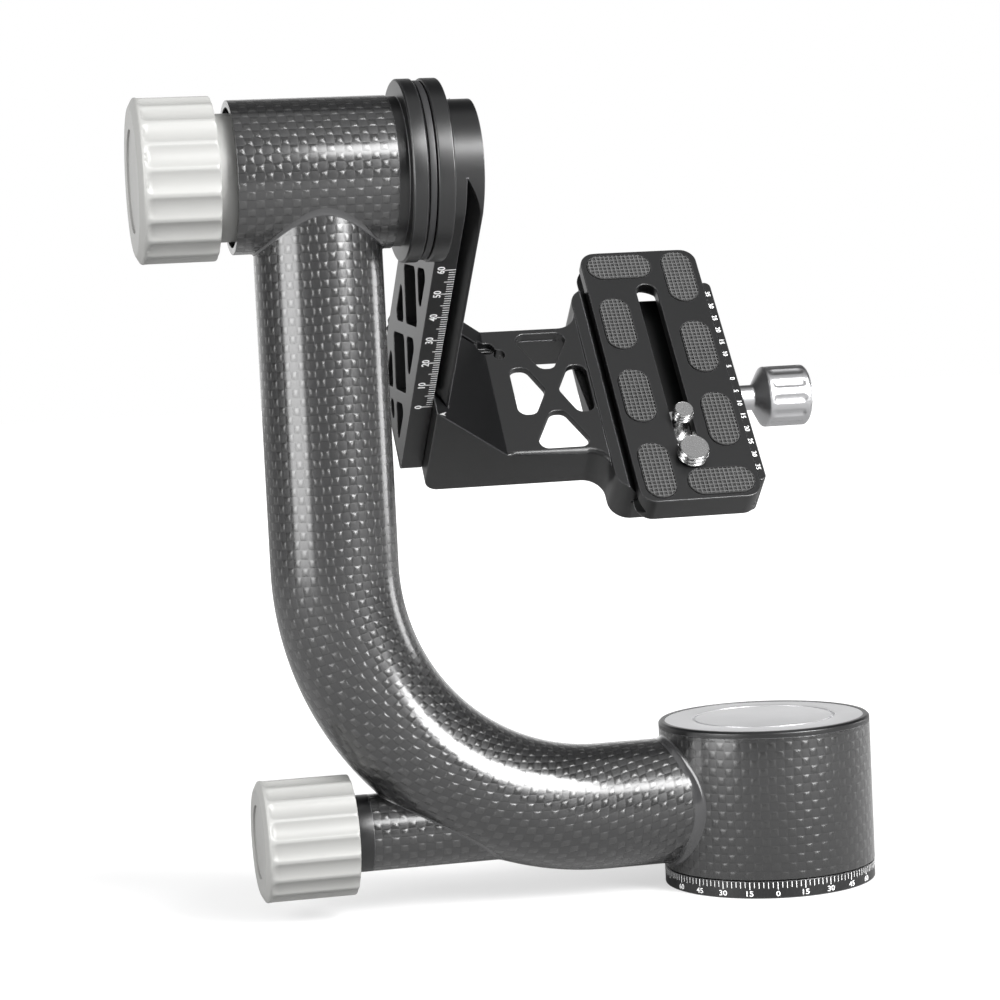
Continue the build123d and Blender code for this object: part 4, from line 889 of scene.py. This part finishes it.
def cameraScrew(name, screw, body, node):
    placer = hungAlongUp(screws["x"], screw["back"])
    radius, pitch, steps = screw["radius"], screw["pitch"], screws["steps"]
    top, rise = -screws["top"], pitch / screws["rowsPerTurn"]
    crown = radius - screws["chamfer"]
    rows = []
    for k in range(1, screws["turns"] + 1):  # fine turned rings on the flat top
        level = top - screws["turnDepth"] * (k % 2)
        rows.append(circleRow(placer, level, crown * k / screws["turns"], steps))
    for k in range(int((screws["seat"] - screws["top"]) / rise) + 1):
        level = top - k * rise
        row = []
        for j in range(steps):
            a = j * math.tau / steps
            phase = ((level - top) / pitch + j / steps) % 1.0
            ridge = min(1.0, max(0.0, thread["flat"] - abs(phase - 0.5) * thread["slope"]))
            size = min(radius - pitch * thread["depth"] * (1 - ridge), crown + top - level)
            row.append(placer(level, size * math.cos(a), size * math.sin(a)))
        rows.append(row)
    headTop, headBottom, head = -screws["headTop"], -screws["headBottom"], screws["head"]
    for level, size in ((-screws["seat"], screws["shank"]), (headTop, screws["shank"]),
                        (headTop, head - screws["headChamfer"]), (headTop - screws["headChamfer"], head),
                        (headBottom + screws["headEdge"], head), (headBottom, head - screws["headEdge"])):
        rows.append(circleRow(placer, level, size, steps))
    thing = finished(name, skinMesh(name, rows), 40)
    cutter = bpy.data.meshes.new("slot")
    bm = bmesh.new()
    bmesh.ops.create_cube(bm, size=1.0)
    for vert in bm.verts:
        vert.co = placer(vert.co.z * 2 * screws["slotDepth"] + headBottom,
                         vert.co.x * screws["slotReach"] * head, vert.co.y * screws["slotWidth"]) * millimetre
    bm.to_mesh(cutter)
    bm.free()
    knife = bpy.data.objects.new("slot", cutter)
    scene.collection.objects.link(knife)
    cut = thing.modifiers.new("Slot", "BOOLEAN")
    cut.operation = "DIFFERENCE"
    cut.object = knife
    evaluated(thing)
    bpy.data.objects.remove(knife)
    return dress(thing, "steel", body, "steel", node)


cameraScrew("quarterScrew", quarterScrew, "quarter_bolt", "quarter_screw")
cameraScrew("largeScrew", largeScrew, "large_bolt", "large_screw")
print("stage: cradle and plate made")

# the scales: painted lines and plain numbers, a little raised
paint = {"raise": 0.03, "sink": 0.05, "bold": 0.014, "thickness": 0.02, "curveSteps": 3}


def paintMark(name, points, facing):  # a thin raised mark from its corners and the way it faces
    mesh = bpy.data.meshes.new(name)
    lift = facing * paint["raise"]
    verts = [p * millimetre for p in points] + [(p + lift) * millimetre for p in points]
    faces = [(0, 1, 2, 3), (4, 5, 6, 7), (0, 1, 5, 4), (1, 2, 6, 5), (2, 3, 7, 6), (3, 0, 4, 7)]
    mesh.from_pydata(verts, [], faces)
    return finished(name, mesh, 30)


def numberMesh(text, height):  # the text as flat points and faces, its middle at the origin
    curve = bpy.data.curves.new(text, "FONT")
    curve.body = text
    curve.extrude = paint["thickness"]
    curve.offset = paint["bold"]
    curve.resolution_u = paint["curveSteps"]
    thing = bpy.data.objects.new(text, curve)
    scene.collection.objects.link(thing)
    mesh = bpy.data.meshes.new_from_object(thing.evaluated_get(bpy.context.evaluated_depsgraph_get()))
    bpy.data.objects.remove(thing)
    xs, ys = [v.co.x for v in mesh.vertices], [v.co.y for v in mesh.vertices]
    size = height / (max(ys) - min(ys))
    middle = ((max(xs) + min(xs)) / 2, (max(ys) + min(ys)) / 2)
    points = [((v.co.x - middle[0]) * size, (v.co.y - middle[1]) * size, v.co.z > 0) for v in mesh.vertices]
    return points, [p.vertices[:] for p in mesh.polygons]


def numbers(name, entries, height, body):  # entries are (text, mapping of a flat point and its lift to space)
    bm = bmesh.new()
    for text, mapping in entries:
        points, faces = numberMesh(text, height)
        verts = [bm.verts.new(mapping(a, b, paint["raise"] if up else -paint["sink"]) * millimetre)
                 for a, b, up in points]
        for face in faces:
            bm.faces.new([verts[i] for i in face])
    mesh = bpy.data.meshes.new(name)
    bm.to_mesh(mesh)
    bm.free()
    return dress(finished(name, mesh, 30), "whitePaint", body, "black_anodised")


panScale = {"radius": 30.0, "zero": -13.3, "step": 15, "lettersAt": 1.35, "height": 1.5, "stretch": 1.25,
            "numberSpread": 1.005, "top": 4.55, "longFrom": 2.45, "longWidth": 0.22, "shortWidth": 0.18,
            "shortFrom": (3.0, 2.8), "shortStep": 2.5, "numbersEachWay": 4}


def onRing(degrees, a, z, lift):  # a point on the pan scale, a to the right of that angle seen from outside
    angle = math.radians(degrees) + a / panScale["radius"]
    radius = panScale["radius"] + lift
    return Vector((radius * math.sin(angle), -radius * math.cos(angle), z))


def ringTicks(name, first, low, width):
    high = panScale["top"]
    a = math.radians(first)
    corners = ((-width / 2, low), (width / 2, low), (width / 2, high), (-width / 2, high))
    thing = paintMark(name, [onRing(first, x, z, 0) for x, z in corners],
                      Vector((math.sin(a), -math.cos(a), 0)))
    repeated(thing, 360 // panScale["step"], "whitePaint", angle=math.radians(panScale["step"]))
    return dress(thing, "whitePaint", "base", "black_anodised")


entries = []
for number in range(-panScale["numbersEachWay"], panScale["numbersEachWay"] + 1):
    degrees = panScale["zero"] + panScale["step"] * number * panScale["numberSpread"]
    entries.append((str(abs(number) * panScale["step"]), lambda a, b, lift, degrees=degrees:
                    onRing(degrees, a * panScale["stretch"], panScale["lettersAt"] + b, lift)))
numbers("panNumbers", entries, panScale["height"], "base")
start = panScale["zero"] - panScale["numbersEachWay"] * panScale["step"]
ringTicks("panTicksLong", start, panScale["longFrom"], panScale["longWidth"])
for number in range(5):
    ringTicks("panTicks" + str(number), start + panScale["shortStep"] * (number + 1),
              panScale["shortFrom"][number % 2], panScale["shortWidth"])

armScale = {"front": -19.1, "right": -82.6, "zero": 80.2, "last": 60, "height": 2.2, "lettersAt": -86.85,
            "tens": (3.3, 0.22), "fives": (2.8, 0.2), "ones": (1.9, 0.18)}  # a line's length and width
swingFront = turn @ Vector((0, -1, 0))


def armTicks(name, first, count, length, width):  # lines at every 10 mm down the swing's arm
    low, high = first - width / 2, first + width / 2
    right, end = armScale["right"], armScale["right"] - length
    corners = ((right, low), (end, low), (end, high), (right, high))
    thing = paintMark(name, [hung(x, armScale["front"], -s) for x, s in corners], swingFront)
    repeated(thing, count, "whitePaint", shift=turn @ Vector((0, 0, -10)))
    return dress(thing, "whitePaint", "swing", "black_anodised")


top = armScale["zero"] - armScale["last"]
tens = armScale["last"] // 10
armTicks("armTicksTen", top, tens + 1, *armScale["tens"])
armTicks("armTicksFive", top + 5, tens, *armScale["fives"])
for number, shift in enumerate((1, 2, 3, 4, 6, 7, 8, 9)):
    armTicks("armTicks" + str(number), top + shift, tens, *armScale["ones"])
entries = []
for number in range(0, armScale["last"] + 10, 10):
    s = armScale["zero"] - number
    entries.append((str(number), lambda a, b, lift, s=s:
                    hung(armScale["lettersAt"] - b, armScale["front"] - lift, -s + a)))
numbers("armNumbers", entries, armScale["height"], "swing")

jawScale = {"top": 98.6, "x": 17.8, "step": 5, "last": 35, "height": 1.6}
entries = []
for number in range(-jawScale["last"], jawScale["last"] + 1, jawScale["step"]):
    entries.append((str(abs(number)), lambda a, b, lift, back=number:
                    hung(jawScale["x"] + b, back - a, lift - jawScale["top"])))
numbers("jawNumbers", entries, jawScale["height"], "jaw")

pointer = {"tip": (-81.6, -24.5, -77.3), "length": 1.9, "notch": 1.3, "half": 0.95}
tip = Vector(pointer["tip"])
shifts = ((0, 0), (pointer["length"], pointer["half"]), (pointer["notch"], 0),
          (pointer["length"], -pointer["half"]))
points = [hung(tip.x + x, tip.y, tip.z + up) for x, up in shifts]
dress(paintMark("armPointer", points, swingFront), "whitePaint", "cradle", "black_anodised")
print("stage: scales made")

# the photograph's camera, a studio with soft panels, a pale floor and a white backdrop
view = {"turn": 12.12, "drop": 4.07, "roll": 2.82, "place": (-239.54, -771.18, 169.40), "pixels": 2831.15,
        "picture": 1000, "sensor": 36}
turned, drop, roll = (math.radians(view[key]) for key in ("turn", "drop", "roll"))
forward = Vector((math.sin(turned) * math.cos(drop), math.cos(turned) * math.cos(drop), -math.sin(drop)))
side = Vector((math.cos(turned), -math.sin(turned), 0))
above = side.cross(forward)
right = side * math.cos(roll) - above * math.sin(roll)
up = above * math.cos(roll) + side * math.sin(roll)
camera = bpy.data.objects.new("Camera", bpy.data.cameras.new("Camera"))
scene.collection.objects.link(camera)
axes = Matrix((right, up, -forward)).transposed().to_4x4()
camera.matrix_world = Matrix.Translation(Vector(view["place"]) * millimetre) @ axes
camera.data.sensor_width = view["sensor"]
camera.data.lens = view["pixels"] * view["sensor"] / view["picture"]
camera.data.clip_start = 0.01
scene.camera = camera
scene.view_settings.view_transform = "Standard"

middle = Vector((-60, 0, 110)) * millimetre  # what the panels face, seen from above
lamps = {  # in metres; the azimuth is from the front towards the right, in degrees
    "key": {"azimuth": 36, "distance": 1.15, "low": 0.24, "high": 1.35, "width": 0.40, "radiance": 28},
    "strip": {"azimuth": -64, "distance": 1.05, "low": 0.01, "high": 1.0, "width": 0.6, "radiance": 7.5},
    "rim": {"azimuth": 108, "distance": 1.2, "low": 0.01, "high": 0.34, "width": 0.3, "radiance": 6},
    "fill": {"azimuth": 17, "distance": 1.15, "low": 0.72, "high": 1.12, "width": 0.4, "radiance": 14}}
overhead = {"size": 1.2, "radiance": 0.5, "place": (middle.x, -0.3, 1.5)}


def panel(name, width, height, radiance, place, rotation):
    light = bpy.data.objects.new(name, bpy.data.lights.new(name, "AREA"))
    light.data.shape = "RECTANGLE"
    light.data.size, light.data.size_y = width, height
    light.data.energy = math.pi * width * height * radiance
    light.matrix_world = Matrix.Translation(place) @ rotation
    scene.collection.objects.link(light)


def softbox(name, azimuth, distance, low, high, width, radiance):  # an upright panel that faces the object
    a = math.radians(azimuth)
    away = Vector((math.sin(a), -math.cos(a), 0))
    place = Vector((middle.x, middle.y, (low + high) / 2)) + away * distance
    panel(name, width, high - low, radiance, place, (-away).to_track_quat("-Z", "Y").to_matrix().to_4x4())


for name, values in lamps.items():
    softbox(name, **values)
panel("overhead", overhead["size"], overhead["size"], overhead["radiance"], Vector(overhead["place"]),
      Matrix.Identity(4))

ground = {"radius": 4.0, "sides": 96, "drop": 0.0001, "color": (0.4, 0.4, 0.4, 1), "fade": (0.2, 0.8),
          "glow": (0.55, 1.1)}
white = (1, 1, 1, 1)
floorMesh = bpy.data.meshes.new("floor")
bm = bmesh.new()
bmesh.ops.create_circle(bm, cap_ends=True, segments=ground["sides"], radius=ground["radius"])
bm.to_mesh(floorMesh)
bm.free()
floor = bpy.data.objects.new("floor", floorMesh)
floor.location.z = -ground["drop"]
scene.collection.objects.link(floor)
floorMaterial = bpy.data.materials.new("floor")
floorMaterial.use_nodes = True
tree = floorMaterial.node_tree
tree.nodes.clear()
output = tree.nodes.new("ShaderNodeOutputMaterial")
rays = tree.nodes.new("ShaderNodeLightPath")
matt = addNode(tree, "ShaderNodeBsdfDiffuse", {"Color": ground["color"]})
spot = addNode(tree, "ShaderNodeTexCoord").outputs["Object"]
away = vectorMaths(tree, "LENGTH", spot).outputs["Value"]
far = addNode(tree, "ShaderNodeMapRange", {"Value": away, "From Min": ground["fade"][0],
                                           "From Max": ground["fade"][1], "To Min": ground["glow"][0],
                                           "To Max": ground["glow"][1]}).outputs[0]
shown = maths(tree, "MULTIPLY", rays.outputs["Is Camera Ray"], far)
glow = addNode(tree, "ShaderNodeEmission", {"Color": white, "Strength": shown})
both = addNode(tree, "ShaderNodeAddShader", {0: matt.outputs[0], 1: glow.outputs[0]})
tree.links.new(both.outputs[0], output.inputs[0])
floorMesh.materials.append(floorMaterial)

# what shiny surfaces mirror: a dark room with a pale wall behind the object and a darker ceiling
studio = {"walls": 0.55, "ceiling": 0.13, "ceilingFrom": (0.15, 0.55), "front": 0.08, "back": 1.1,
          "backFrom": (0.55, 0.95)}
world = bpy.data.worlds.new("studio")
scene.world = world
world.use_nodes = True
tree = world.node_tree
tree.nodes.clear()
output = tree.nodes.new("ShaderNodeOutputWorld")
rays = tree.nodes.new("ShaderNodeLightPath")
way = addNode(tree, "ShaderNodeTexCoord").outputs["Generated"]
ways = addNode(tree, "ShaderNodeSeparateXYZ", {0: way})
behind, level = ways.outputs[1], ways.outputs[2]
low, high = studio["ceilingFrom"]
ceiling = addNode(tree, "ShaderNodeMapRange", {"Value": level, "From Min": low, "From Max": high,
                                               "To Min": 1.0, "To Max": studio["ceiling"]}).outputs[0]
low, high = studio["backFrom"]
backdrop = addNode(tree, "ShaderNodeMapRange", {"Value": behind, "From Min": low, "From Max": high,
                                                "To Min": studio["front"],
                                                "To Max": studio["back"]}).outputs[0]
mirrored = maths(tree, "MULTIPLY", ceiling, backdrop)
strength = addNode(tree, "ShaderNodeMix", {0: rays.outputs["Is Glossy Ray"], 2: studio["walls"],
                                           3: mirrored}).outputs[0]
seen = addNode(tree, "ShaderNodeBackground", {"Color": white, "Strength": 1.0})
given = addNode(tree, "ShaderNodeBackground", {"Color": white, "Strength": strength})
mixed = addNode(tree, "ShaderNodeMixShader", {0: rays.outputs["Is Camera Ray"], 1: given.outputs[0],
                                              2: seen.outputs[0]})
tree.links.new(mixed.outputs[0], output.inputs[0])
print("stage: camera, lights and floor made")
